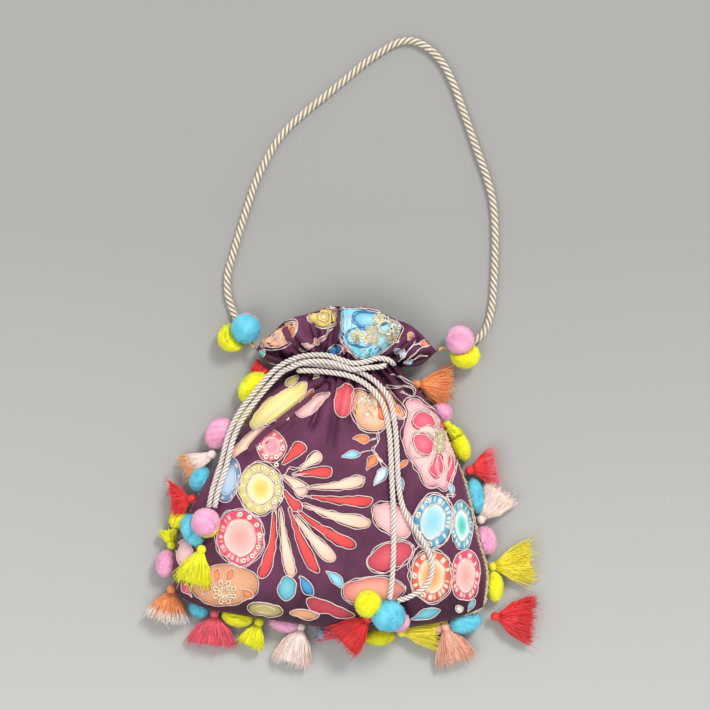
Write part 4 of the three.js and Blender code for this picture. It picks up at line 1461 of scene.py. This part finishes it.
def flanks(x0: float, y0: float, x1: float, y1: float, bend: float, halves: list[Point]) -> list[list[Point]]:
    """The two sides of a long shape.

    Args:
        x0, y0, x1, y1: Its root and its tip.
        bend: How far its middle swings to one side.
        halves: Pairs of a share of its length and its half width there.

    Returns:
        Its left side and its right side, each from the root towards the tip.
    """
    long = math.hypot(x1 - x0, y1 - y0)
    ax, ay = (x1 - x0) / long, (y1 - y0) / long
    sides = []
    for side in (1, -1):
        offs = [(t, side * half + bend * math.sin(math.pi * t)) for t, half in halves]
        sides.append([(x0 + ax * long * t - ay * off, y0 + ay * long * t + ax * off) for t, off in offs])
    return sides


def petal(x0: float, y0: float, x1: float, y1: float, width: float, palette: str, bend: float = 0,
          lines: tuple[float, ...] = (1.0,), full: float = 0.62) -> Motif:
    """A petal or leaf from one point to another, fullest at the given share of its length."""
    warp = math.log(0.5) / math.log(full)
    halves = [(t, width / 2 * math.sin(math.pi * min(1, t**warp)) ** 0.75)
              for t in (0.0, 0.12, 0.3, 0.5, 0.7, 0.87, 0.97)]
    left, right = flanks(x0, y0, x1, y1, bend, halves)
    return Motif((*right, (x1, y1), *left[:0:-1]), palette, lines)


def club(x0: float, y0: float, x1: float, y1: float, width: float, palette: str, bend: float = 0) -> Motif:
    """A petal with a narrow root and a broad round end."""
    halves = [(t, width / 2 * full) for t, full in CLUB_WIDTHS]
    left, right = flanks(x0, y0, x1, y1, bend, halves)
    return Motif((*right, (x1, y1), *left[::-1]), palette, (1.06,))


def ring_of(x: float, y: float, rx: float, ry: float, start: float, stop: float, count: int) -> list[Point]:
    """Places spaced along part of an oval, from one angle to another."""
    turns = np.radians(np.linspace(start, stop, count))
    return [(x + rx * math.cos(t), y + ry * math.sin(t)) for t in turns]


def blot(points: list[Point], palette: str, lines: tuple[float, ...] = (1.0,),
         thread: Colour = SILVER) -> Motif:
    """A free shape through points."""
    return Motif(tuple(points), palette, lines, thread)


# Lines of thread, as shares of a motif's reach: over 0.9 they follow its edge, under it they lie inside
DOUBLE = (1.03, 1.15)
INSIDE = (1.04, 0.84)
RIMMED = (1.03, 1.14, 0.66)
TEAL_LINED = (1.02, 1.12)
EGGS = [
    egg(-44, 9.5, 14.7, 17, "sun", 0, RIMMED, blocks=(232, 222, 160)),
    egg(-36.6, 38.6, 9.8, 10.2, "rose_egg", 0, (1.04, 0.6), blocks=(250, 214, 206)),
    egg(-67, 15, 9, 15, "sky_egg", -12, (1.04, 0.66), blocks=(214, 210, 208)),
    egg(-58, -24.3, 16, 18.8, "pink_egg", 6, RIMMED, blocks=(250, 190, 190)),
    egg(-68.8, -57.4, 23, 14.3, "tan", 4, (1.04,)),
    petal(-76, -57, -73, -45.5, 6, "orange"), petal(-67.5, -56, -63, -45.5, 6, "orange"),
    petal(-58, -60, -49.5, -66, 6, "orange"), petal(-85, -64, -78, -57, 5, "orange"),
    egg(-41, -74.4, 11.6, 4.8, "olive", -6, (1.04, 0.55)),
    egg(-14, -77.5, 10, 3.4, "tan", -8),
    egg(-25.9, -59.2, 6.3, 9, "teal", -6),
    egg(74.6, -13.6, 13, 18.4, "mosaic", -10, RIMMED, blocks=(206, 228, 228)),
    egg(94.6, -16.5, 7.5, 16.8, "teal_egg", 4, (1.04, 0.64), blocks=(200, 228, 222)),
    egg(73.6, -51, 14, 17.4, "amber", 0, RIMMED, blocks=(250, 222, 200)),
    egg(97.4, -51, 9.8, 17.4, "pink_egg", 0, (1.04, 0.66), blocks=(250, 210, 200)),
    egg(33.2, -60.9, 20.7, 9, "salmon", 4, DOUBLE),
    egg(45, -37.2, 15.8, 8.6, "crimson", 22, DOUBLE),
    egg(13.6, 69.8, 7.4, 11.8, "coral", -8),
    petal(-17, -51, -8, -64, 7, "blue", 0, (1.04,), 0.6),
    egg(93.4, -74.3, 2.4, 2.6, "white"),
]
FIREWORK = [
    club(-28.6, 26.6, -14.3, 40.4, 8, "red"), club(-17, 22.8, -2.6, 33.4, 6.8, "cream"),
    club(-21, 19, 5.4, 20.6, 6.6, "red", 1), club(-28.6, 18.6, -13.4, 5.4, 9, "cream", 1.4),
    club(-10, 10.5, 27.4, 15.9, 7.2, "cream", -1.4), club(-9, 4.2, 33.1, 0.9, 6.4, "red", -1.2),
    club(-14, -1.6, 31.3, -14.6, 8, "cream", -1.6), club(-28.4, 8, -17, -5, 6.4, "red"),
    club(-18, -6, 20.6, -30, 7, "red", -2), club(-19.6, -9.4, 6.3, -39.8, 8, "cream", -1),
    club(-24, -4.4, -5.3, -47.8, 6.8, "red", -1.6), club(-30.2, -4, -22.3, -51.4, 7, "cream", -1),
    club(-34.8, -7, -43.8, -52.2, 6.6, "red", 3),
]
LEAVES = [
    petal(0.9, -47, 13, -59, 6.4, "ice", 1),
    blot([(-12, -66), (-4, -66), (4, -69), (12, -73), (21, -78), (10, -80), (2, -77), (-8, -76), (-12, -71)],
         "deep_red"),
    blot([(33.8, -4), (38, -1.4), (45, -1), (52, -4), (57, -8), (58.8, -15), (57.6, -21.8), (52, -23.8),
          (44, -20.4), (36, -14)], "pale", DOUBLE),
    petal(19.4, 44, 31.4, 42.4, 6.6, "orange", 0.6), petal(11, 31.6, 24.5, 34, 5.8, "ice"),
    petal(28.3, 22.6, 36.4, 33, 6, "orange"), petal(34, 11.6, 42.2, 24.4, 6.4, "milk"),
    petal(49.6, 23, 57, 28.6, 4.6, "orange"), petal(54.6, 8, 51, 17.6, 4, "ice"),
    blot([(-12.4, 82.4), (-25.3, 78.4), (-37.6, 71.4), (-47, 62), (-51.4, 54), (-48.4, 50), (-39.6, 54.4),
          (-27, 61), (-15, 72.6)], "lemon"),
    blot([(3.8, 75.2), (-8.2, 71.8), (-18.2, 65), (-19.3, 59.8), (-10.4, 59.8), (-1.2, 68)], "pale"),
    blot([(-34, 52.4), (-44, 51.4), (-56, 43.4), (-64, 34), (-62, 31), (-52, 38), (-42, 45)], "cream"),
    petal(-24, 60, -26, 56, 2.2, "white"), petal(-14, 71, -8, 78, 4, "orange"),
    petal(-8, 84.5, -4, 89, 4, "white"), petal(-18, 87, -27, 80, 5, "olive"),
    petal(59, -81, 80, -74.5, 8, "teal"),
    blot([(-103, -31), (-96, -27), (-91, -34), (-94, -42), (-101, -43)], "pale"),
    petal(88, 3, 87, 13, 4, "ice"), petal(99, -76, 104, -68, 4, "teal"), petal(-92, -66, -99, -56, 6, "rose"),
]
FLOWERS = [
    blot([(56, 68.4), (60, 71), (65, 70.2), (69, 67), (74, 63), (81, 58), (86.4, 54), (90.8, 43.4),
          (91.4, 31), (86.4, 14.9), (82.9, 8.6), (77.5, 11.3), (70.4, 11.3), (65, 22), (56, 36.3),
          (54.3, 48.8), (57.9, 61.3)],
         "bloom", (1.03, 1.16)),
    blot([(59.4, 54.5), (62.2, 61), (67.7, 63.2), (74.6, 59.4), (78, 54), (76, 50.6), (71.7, 52.6),
          (67.7, 51), (63.6, 50)], "rose", INSIDE),
    blot([(60.6, 46), (66.7, 48), (74, 44.4), (76, 39.7), (73.4, 33), (66.7, 31.8), (61.6, 37.7)],
         "rose", INSIDE),
    blot([(71.7, 21.9), (74, 28), (76.6, 33), (80.4, 33), (82.4, 26), (81, 19), (76.6, 15.8)],
         "rose", INSIDE),
    blot([(84, 15), (84.4, 25), (86, 32), (89, 30), (89.4, 22), (86.8, 14.6)], "rose"),
    blot([(78, 51), (79, 56), (83, 55), (86, 50.6), (83.6, 47.6)], "rose"),
    egg(79.3, 41.6, 4.4, 8, "cream", 0, (1.0, 0.6), GILT),
    blot([(20.4, 73), (24, 76.5), (31, 74.5), (38, 77), (44, 76), (50, 70), (55, 61), (52, 58.5), (46, 61),
          (42, 53), (36, 49.6), (30, 50), (24, 53.4), (21, 60), (19.6, 67)], "peach", DOUBLE),
    blot([(36, 67), (37, 71), (43, 70), (45, 63), (42, 57), (37, 58)], "orange"),
    petal(46, 68, 52, 61, 5, "orange"), petal(26, 62, 32, 60, 5, "cream"),
]
FRILL = [
    blot([(-42.4, 110), (-38.4, 117.6), (-33, 121.2), (-27, 123.6), (-20.4, 124.6), (-20.1, 120),
          (-25.3, 110.4), (-33.8, 107.4), (-40.7, 107.4)], "peach", DOUBLE),
    petal(-24, 113, -21.6, 121.4, 5, "orange"), petal(-37, 111, -32, 117, 4, "salmon"),
    blot([(-10.7, 128.4), (-6.4, 131.4), (-1, 133), (5, 133), (7.6, 130), (7.4, 124.7), (0.4, 121.3),
          (-4.7, 122), (-9.9, 125)], "yellow", DOUBLE),
    egg(-0.6, 128, 4.4, 3.6, "lemon", 0, (1.0, 0.5), GILT), petal(-41, 105.4, -45, 101, 5, "teal"),
    petal(-33, 95.4, -42, 94, 4.4, "cream"), petal(-8, 113, -4, 108, 4.5, "orange"),
    petal(-16, 109.6, -10, 107, 4, "cream"), petal(1.4, 101, 10.7, 108, 8, "blue"),
    petal(12.4, 102, 16, 109, 4.6, "rose"),
    blot([(10.7, 130), (14.1, 133.4), (20, 133.6), (28, 132.4), (36.3, 130.6), (43.2, 127.6), (51.6, 122),
          (52.5, 119), (50, 113.5), (43.2, 106.7), (33.8, 99.4), (24.4, 99.4), (17.5, 105), (11.5, 112.7),
          (9.8, 122)], "cyan", DOUBLE),
    blot([(13, 118), (13.6, 126), (17, 129), (19, 124), (17.4, 116), (15, 113)], "milk", (1.0,)),
    blot([(20.1, 127), (24.4, 130.6), (33.8, 130), (41, 126.4), (42, 123.8), (33.8, 122), (24.4, 122)], "ice",
         TEAL_LINED, TEAL_THREAD),
    blot([(15.8, 116), (21, 119), (29.5, 118), (33.8, 114), (29.5, 108.6), (21, 108.6), (16.7, 111)], "ice",
         TEAL_LINED, TEAL_THREAD),
    blot([(27, 104), (31, 108.4), (36, 108), (40, 105.4), (34, 101)], "blue", (1.0,)),
    blot([(46, 119.6), (46.6, 116), (44, 111.6), (41.4, 110), (43.6, 115.4)], "milk", (1.0,)),
    petal(57, 112.6, 61, 116.6, 5, "orange"), petal(65.6, 109.4, 73, 109.6, 5, "orange"),
    petal(48.6, 106.4, 51.6, 102.6, 4.4, "ice"), petal(56, 95, 61, 97.4, 4, "ice"),
    petal(56, 104.6, 53, 100, 4, "milk"),
]
FRONT_MOTIFS = [*FLOWERS, *EGGS, *FIREWORK, *LEAVES]
BACK_MOTIFS = [*EGGS, *FIREWORK, *LEAVES[:10], *FLOWERS[:9]]

# Single lines of thread: stems, chains and scrolls
STEMS = [
    [(36, 49), (37, 42), (33.6, 36), (38, 29), (46, 20), (50, 12)], [(36, 44), (31.4, 43)],
    [(42, 80), (50, 79.6), (58, 79.4), (62, 77), (60.6, 72.6), (52, 76)], [(34, 36), (24.6, 34)],
    [(46, 88), (53, 86), (58, 82), (63, 80)], [(76, 48), (77, 55), (72, 62), (64, 64), (59, 61)],
    [(75, 44), (68, 48), (61, 46), (58, 40), (61, 32), (69, 31)], [(77, 36), (71, 29), (67, 22), (71, 15)],
    [(79, 35), (77, 26), (79, 17)], [(82, 36), (87, 30), (85, 21)], [(83, 47), (86, 50), (81, 54)],
    [(40, 28), (36.4, 31)], [(46, 20), (50, 23.4)], [(76, -36), (66, -30), (58, -40), (60, -52)],
    [(90, 4), (84, 4.6), (86, 0)],
    [(23, 67), (26, 71), (29, 65), (33, 71), (36, 66)], [(26, 59), (29, 55), (33, 58), (31, 62)],
    [(22, 74), (26, 70), (31, 74), (34, 69), (30, 66)], [(-34, 14), (-28.4, 18), (-24, 24)],
    [(-24, 24), (-17, 23)],
    [(-22, 19), (-12, 20)], [(-20, 10), (-10, 10.4)], [(-16, 5), (-9, 4)], [(-33, -10), (-34, -2), (-30, 2)],
]
FRILL_STEMS = [
    [(4, 121), (0, 115), (-6, 111), (-11, 107)], [(60, 116), (63, 110), (58, 104), (52, 98)],
    [(66, 110), (61, 107)], [(5, 120), (1, 114), (-5, 110), (-10, 106)], [(-10, 106), (-14, 104), (-18, 106)],
    [(72, 108), (66, 106), (60, 101), (55, 96)], [(62, 98), (66, 101), (71, 101)],
    [(-38, 110), (-34, 115), (-30, 111), (-27, 116)], [(6, 131), (10, 126), (11, 119)],
]
SEQUINS = [
    *ring_of(-44, 9.5, 12.4, 14.4, -70, 110, 7), *ring_of(-36.6, 38.6, 7.8, 8.2, 190, 350, 4),
    *ring_of(-58, -24.3, 13.6, 16, -80, 90, 7), *ring_of(74.6, -13.6, 10.8, 15.6, 110, 260, 4),
    *ring_of(73.6, -51, 11.6, 14.6, 120, 240, 3), (-30, 2), (-33, 26), (-78, 46),
]


@dataclass
class Embroidery:
    """The print and the thread on one panel."""

    ground: Ground
    name: str
    gauge: float = 0.46
    apart: float = 0.45
    chain: float = 1.7
    drop: float = 4.0
    print_lift: float = 0.27
    print_layer: float = 0.035
    front_lift: float = 0.55
    back_lift: float = 0.2

    def paint(self, motifs: list[Motif], material: Material, node: str) -> Piece:
        """Makes the fields of colour, each a little above the ones before it."""
        mesh = MeshPlan()
        for k, motif in enumerate(motifs):
            motif.paint(mesh, self.ground, self.print_lift + self.print_layer * (k % 7))
        piece = mesh.build(self.name + "_print", material, "silk")
        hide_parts(node)
        return piece

    def sew(self, motifs: list[Motif], stems: list, material: Material, node: str, rng: Rng) -> Piece:
        """Makes the chain-stitched lines."""
        mesh = MeshPlan()
        step = STITCH if self.ground.side is Side.FRONT else 2 * STITCH
        for motif in motifs:
            for loop in motif.stitches(step):
                self.run(mesh, loop, motif.thread, rng)
        for route in stems:
            path = Spline(route).even(STITCH)[:, :2]
            for side in (-self.apart, self.apart):
                self.run(mesh, path + side, SILVER, rng)
        piece = mesh.build(self.name + "_thread", material, "braid")
        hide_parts(node)
        return piece

    def run(self, mesh: MeshPlan, spots: Array, colour: Colour, rng: Rng) -> None:
        """One line of chain stitch along plan positions, cut where it leaves the cloth."""
        count = len(spots)
        sway = np.stack([wander(count, 0.4, rng, count // 6) for _ in range(2)], axis=1)
        lift = self.front_lift if self.ground.side is Side.FRONT else self.back_lift
        places, met = self.ground.lay_on(spots + sway, lift)
        tint = np.array(linear(colour)) * rng.uniform(0.9, 1.12)
        for part in np.split(np.arange(count), np.nonzero(~met)[0]):
            part = part[met[part]]
            if len(part) < 5:
                continue
            path = places[part]
            if np.abs(np.diff(path[:, 2])).max() > self.drop:
                continue
            swell = 0.8 + 0.36 * np.abs(np.sin(np.arange(len(part)) * STITCH * np.pi / self.chain))
            tube(mesh, path, self.gauge * swell, 3, tint)

    def add_sequins(self, spots: list[Point], material: Material, node: str, rng: Rng) -> Piece:
        """Makes small cupped sequins."""
        mesh = MeshPlan()
        places, met = self.ground.lay_on(np.array(spots, float), self.front_lift)
        turn = np.linspace(0, 2 * np.pi, 14, endpoint=False)
        profile = [(0.6, 0.3), (0.95, 0.2), (1.5, 0.0), (1.8, 0.12), (1.6, 0.35), (1.1, 0.5), (0.65, 0.5)]
        for place in places[met]:
            tint = np.array(linear(SEQUIN)) * rng.uniform(0.9, 1.1)
            rings = np.array([[(r * math.cos(a), r * math.sin(a), z) for a in turn]
                              for r, z in profile + profile[:1]])
            mesh.grid(place + rings, tint, wrap=True)
        piece = mesh.build(self.name + "_sequins", material, "braid")
        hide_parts(node)
        return piece


@dataclass
class Rosette:
    """A raised flower of looped metallic thread."""

    x: float
    y: float
    reach: float
    loops: int
    layers: int = 3

    def add(self, mesh: MeshPlan, ground: Ground, rng: Rng) -> None:
        """Adds its loops to a mesh."""
        for layer in range(self.layers):
            turn = np.linspace(0, 2 * np.pi, self.loops * 16)
            inner, outer = self.reach * (0.25 + 0.1 * layer), self.reach * (1.0 - 0.24 * layer)
            wave = (0.5 - 0.5 * np.cos(self.loops * turn)) ** 0.8
            radius = inner + (outer - inner) * wave
            lean = 3.0 / self.loops * np.sin(self.loops * turn) + layer * 0.3
            spots = np.stack([self.x + radius * np.cos(turn + lean),
                              self.y + radius * np.sin(turn + lean)], axis=1)
            lift = 0.7 + 0.5 * layer + 0.5 * np.abs(np.sin(self.loops * turn / 2))
            places, met = ground.lay_on(spots, lift)
            if met.all():
                tint = np.array(linear(LOOP_COLOURS[layer % 2])) * rng.uniform(0.9, 1.1)
                tube(mesh, places, 0.4, 4, tint)


LOOPED = [
    Rosette(42, 121, 9.5, 9), Rosette(22.6, 114.4, 5.4, 6, 2), Rosette(35, 112, 3.8, 5, 2),
    Rosette(32.5, 119, 4.4, 6, 2), Rosette(47.6, 112.4, 4.4, 6, 2), Rosette(37.6, 127, 4.2, 6, 2),
    Rosette(29, 112.6, 3.4, 5, 2), Rosette(49, 119.6, 3.6, 5, 1), Rosette(79.3, 45.6, 4.4, 7, 2),
    Rosette(79.3, 38, 4.4, 6, 2), Rosette(78.6, 41.6, 8.4, 7, 1), Rosette(28, 71, 3.6, 5, 1),
    Rosette(-68.8, -62, 8.4, 8, 2),
]


@dataclass
class SeamBraid:
    """A gimp braid along the side seams and the hem: two plied cords and a looped edge.

    It is tucked under the cloth except on the lower right, where it shows. The twist and the loop are
    counted in points of the line, which are a step apart.
    """

    shape: BagShape
    top: float = 0.71
    out: float = 0.9
    tucked: float = -1.4
    drop: float = 2.2
    step: float = 0.8
    twist: float = 7.2
    loop: float = 8.0
    points: int = 90
    cord: float = 0.62

    def route(self) -> Array:
        """The braid's middle line, from the left of the neck round the hem to the right."""
        left, right, hem, _ = self.shape.edges
        t = np.linspace(self.top, 0, self.points)
        across = np.linspace(0, 1, self.points)
        out = self.tucked + (self.out - self.tucked) * smooth(0.85, 1.0, across)
        high = self.out - (self.out - self.tucked) * smooth(0.34, 0.46, t[::-1])
        parts = [self.off(left.at(t), self.shape.seam(t), np.full(self.points, self.tucked)),
                 self.off(hem.at(across), self.shape.seam(np.zeros(self.points)), out),
                 self.off(right.at(t[::-1]), self.shape.seam(t[::-1]), high)]
        line = np.concatenate([parts[0][:-2], parts[1][2:-2], parts[2][2:]])
        return resample(line, self.step)

    def off(self, line: Array, height: Array, out: Array) -> Array:
        """A plan line moved outwards, at the given height, and lower where it is tucked under."""
        tangent = tangents_of(line)
        outward = np.stack([tangent[:, 1], -tangent[:, 0], np.zeros(len(line))], axis=1)
        moved = line + outward * out[:, None]
        moved[:, 2] = height - self.drop * (self.out - out) / (self.out - self.tucked)
        return moved

    def build(self, material: Material) -> Piece:
        """Makes the braid."""
        line = self.route()
        place = np.arange(len(line))
        tangent = tangents_of(line)
        side = np.cross(tangent, (0, 0, 1.0))
        side /= np.linalg.norm(side, axis=1, keepdims=True)
        up = np.cross(side, tangent)
        mesh = MeshPlan()
        for phase, colour in GIMP_CORDS:
            angle = 2 * np.pi * place / self.twist + phase
            path = line + self.cord * (np.cos(angle)[:, None] * side + np.sin(angle)[:, None] * up)
            tube(mesh, path, self.cord, 6, np.array(linear(colour)))
        loop = 2 * np.pi * place / self.loop
        path = line + side * (0.3 - 1.5 * np.cos(loop))[:, None] + up * (0.25 * np.sin(loop * 2))[:, None]
        path = path + tangent * (0.8 * np.sin(loop))[:, None]
        tube(mesh, path, 0.36, 5, np.array(linear(GIMP_EDGE)))
        piece = mesh.build("seam_gimp", material, "braid")
        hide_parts("seam_braid")
        return piece


# ---- The bag --------------------------------------------------------------------------------

# The pompoms on the cords, bunch by bunch
BUNCHES = {
    "handle_left": (Yarn.BLUE, Yarn.YELLOW, Yarn.PINK), "handle_right": (Yarn.PINK, Yarn.BLUE, Yarn.YELLOW),
    "left_tail": (Yarn.PINK, Yarn.YELLOW, Yarn.BLUE), "bottom_tail": (Yarn.BLUE, Yarn.YELLOW, Yarn.PINK),
}
# The trimming from the right of the neck round the hem to the left: small letters are pompoms and capitals
# are tassels
TRIM_COLOURS = {"p": Yarn.PINK, "y": Yarn.YELLOW, "b": Yarn.BLUE}
TRIM_ORDER = "OpYyRbLpYyRbPpYyCbLpYyCbOpYyRbLpYyR"
TRIM_TASSELS = [
    Tassel("trim_tassel_01", Yarn.ORANGE, (64, 81, 11), -8, 24, 12, 7, 8, 24, 3.0, threads=340),
    Tassel("trim_tassel_03", Yarn.YELLOW, (85, 53, 8), -50, 12, 5, 4, 10),
    Tassel("trim_tassel_05", Yarn.RED, (101, 21, 9), 10, 19, 11, 6, 8, 18, 2.6, Yarn.CORAL, 320),
    Tassel("trim_tassel_07", Yarn.BLUSH, (109, -13, 9), 52, 25, 12, 6, 8, 8, 1.6, threads=300),
    Tassel("trim_tassel_09", Yarn.GOLD, (117, -46, 8), 6, 28, 13, 7, 5, 14, 2.2, threads=360),
    Tassel("trim_tassel_11", Yarn.RED, (119, -81, 8), -6, 27, 15, 7, 5, 10, 1.4, threads=380),
    Tassel("trim_tassel_13", Yarn.PEACH, (84, -88, 9), -72, 27, 13, 6, 8),
    Tassel("trim_tassel_15", Yarn.GOLD, (54, -92, 9), -4, 25, 9, 8, 4, 10, 2.4, threads=300),
    Tassel("trim_tassel_17", Yarn.CORAL, (12, -93.5, 5), 178, 17, 5, 4, 2),
    Tassel("trim_tassel_19", Yarn.BLUSH, (-17, -88, 9), -105, 28, 13, 6, 8),
    Tassel("trim_tassel_21", Yarn.YELLOW, (-46, -85, 9), -112, 18, 9, 7, 8),
    Tassel("trim_tassel_23", Yarn.CORAL, (-77, -79, 9), -96, 23, 16, 6, 8),
    Tassel("trim_tassel_25", Yarn.ORANGE, (-107, -62, 10), -100, 22, 13, 9, 10, 14, 2.4, Yarn.BLUSH, 360),
    Tassel("trim_tassel_27", Yarn.YELLOW, (-107, -31, 8), 105, 11, 6, 6, 4),
    Tassel("trim_tassel_29", Yarn.RED, (-93, 1, 9), 190, 14, 12, 8, 6, 22, 3.2, threads=340),
    Tassel("trim_tassel_31", Yarn.BLUSH, (-79, 32, 9), 205, 22, 7, 6, 6, 16, 3.0, Yarn.ORANGE, 280),
    Tassel("trim_tassel_33", Yarn.YELLOW, (-59, 55, 9), 60, 12, 5, 6, 4),
    Tassel("trim_tassel_35", Yarn.RED, (-42, 90, 8), 150, 9, 4, 5, 2),
]
BUNCH_TASSELS = [
    Tassel("left_tail_tassel", Yarn.YELLOW, (-85, -33, 36.5), -106, 26, 12, 5, 14, 8, 1.2),
    Tassel("bottom_tail_tassel", Yarn.RED, (30, -80.5, 33.5), -139, 29, 14, 5, 30, 8, 1.2),
]


@dataclass
class PotliBag:
    """The whole bag, sub-assembly by sub-assembly."""

    rng: Rng
    pieces: dict[str, Piece] = field(default_factory=dict)
    finishes: dict[str, Material] = field(default_factory=dict)

    def build(self) -> None:
        """Builds everything that belongs to the bag."""
        self.build_cords()
        self.build_pouch()
        self.build_trim()

    def build_cords(self) -> None:
        """The handle, the drawstrings' four strands and the bunches on them."""
        rope = CordFinish("twisted_cord").make()
        gilt = ThreadFinish("gilt_thread", 0.38, 0.45, 0.1, 800, 0.00008, 0.2).make()
        velvet = ThreadFinish("clipped_yarn", 0.9, 0.0, 0.3, 420, 0.0001, 0.08).make()
        skein = ThreadFinish("skein_thread", 0.42, 0.0, 0.1, 700, 0.00005, 0.1).make()
        for bunch, yarns in BUNCHES.items():
            for yarn in yarns:
                node = f"{bunch}_{yarn.name.lower()}"
                self.pieces[node] = Pompom(node, yarn).build(velvet, self.rng)
        for tassel in BUNCH_TASSELS:
            self.pieces[tassel.node] = tassel.build(skein, self.rng)
        links = [
            WrappedLink("link_left", LINK_LEFT_ROUTE, "handle_link_left").build(gilt),
            WrappedLink("link_right", LINK_RIGHT_ROUTE, "handle_link_right").build(gilt),
        ]
        handle = Rope("handle_cord", HANDLE_ROUTE, HANDLE_LOOK, ("handle_rope",), "handle_cord")
        handle.declare(handle.build(rope))
        strands = (
            ("left_strand_upper", LEFT_TAIL_FIRST, "drawstring_left_tail", "left_tail_"),
            ("left_strand_lower", LEFT_TAIL_SECOND, "drawstring_left_tail", "left_tail_"),
            ("front_strand_upper", BOTTOM_TAIL_FIRST, "drawstring_bottom_tail", "bottom_tail_"),
            ("front_strand_lower", BOTTOM_TAIL_SECOND, "drawstring_bottom_tail", "bottom_tail_"),
        )
        for name, route, node, bunch in strands:
            strand = Rope(name, route, STRING_LOOK, (node,), "drawstring_cord")
            strand.declare(strand.build(rope))
        self.finishes = {"gilt": gilt, "velvet": velvet, "skein": skein}

    def build_pouch(self) -> None:
        """The cloth, its lining, its print and its embroidery."""
        silk = SilkFinish("aubergine_silk", (96, 40, 72), (120, 56, 96), (70, 24, 50)).make()
        lining = SilkFinish("lining_cloth", (104, 50, 78), (122, 64, 96), (80, 32, 58)).make()
        dyed = SilkFinish("printed_silk", (250, 214, 204), (255, 226, 216), (226, 170, 170), True).make()
        thread = ThreadFinish("silver_thread", 0.42, 0.25, 0.1, 1500, 0.00006, 0.22).make()
        pouch = Pouch(BagShape())
        pouch.build_front(silk, self.rng)
        pouch.build_back(silk)
        pouch.build_lining(lining)
        front = Embroidery(Ground(Side.FRONT, pouch.surface), "front")
        front.paint(FRONT_MOTIFS, dyed, "front_panel")
        front.sew(FRONT_MOTIFS, STEMS, thread, "front_panel", self.rng)
        front.add_sequins(SEQUINS, self.finishes["gilt"], "front_panel", self.rng)
        frill = Embroidery(Ground(Side.FRONT, pouch.surface), "frill")
        frill.paint(FRILL, dyed, "front_panel")
        frill.sew(FRILL, FRILL_STEMS, thread, "front_panel", self.rng)
        self.add_rosettes(frill.ground)
        back = Embroidery(Ground(Side.BACK, pouch.under), "back")
        back.paint(BACK_MOTIFS, dyed, "back_panel")
        back.sew(BACK_MOTIFS, [], thread, "back_panel", self.rng)

    def add_rosettes(self, ground: Ground) -> None:
        """The flowers of looped metallic thread."""
        mesh = MeshPlan()
        for rosette in LOOPED:
            rosette.add(mesh, ground, self.rng)
        piece = mesh.build("looped_flowers", self.finishes["gilt"], "braid")
        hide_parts("front_panel")

    def build_trim(self) -> None:
        """The braid, pompoms and tassels round the seam."""
        braid = ThreadFinish("gimp_thread", 0.5, 0.15, 0.2, 900, 0.0001, 0.15).make()
        SeamBraid(BagShape()).build(braid)
        for tassel in TRIM_TASSELS:
            tassel.build(self.finishes["skein"], self.rng)
        for k, letter in enumerate(TRIM_ORDER, 1):
            if letter in TRIM_COLOURS:
                node = f"trim_pompom_{k:02d}"
                Pompom(node, TRIM_COLOURS[letter]).build(self.finishes["velvet"], self.rng)


def main() -> None:
    """Builds the stage and the bag."""
    logging.basicConfig(level=logging.INFO, format="%(name)s: %(message)s")
    Studio().build()
    PotliBag(np.random.default_rng(SEED)).build()
    bpy.context.view_layer.update()


if __name__ == "__main__":
    main()
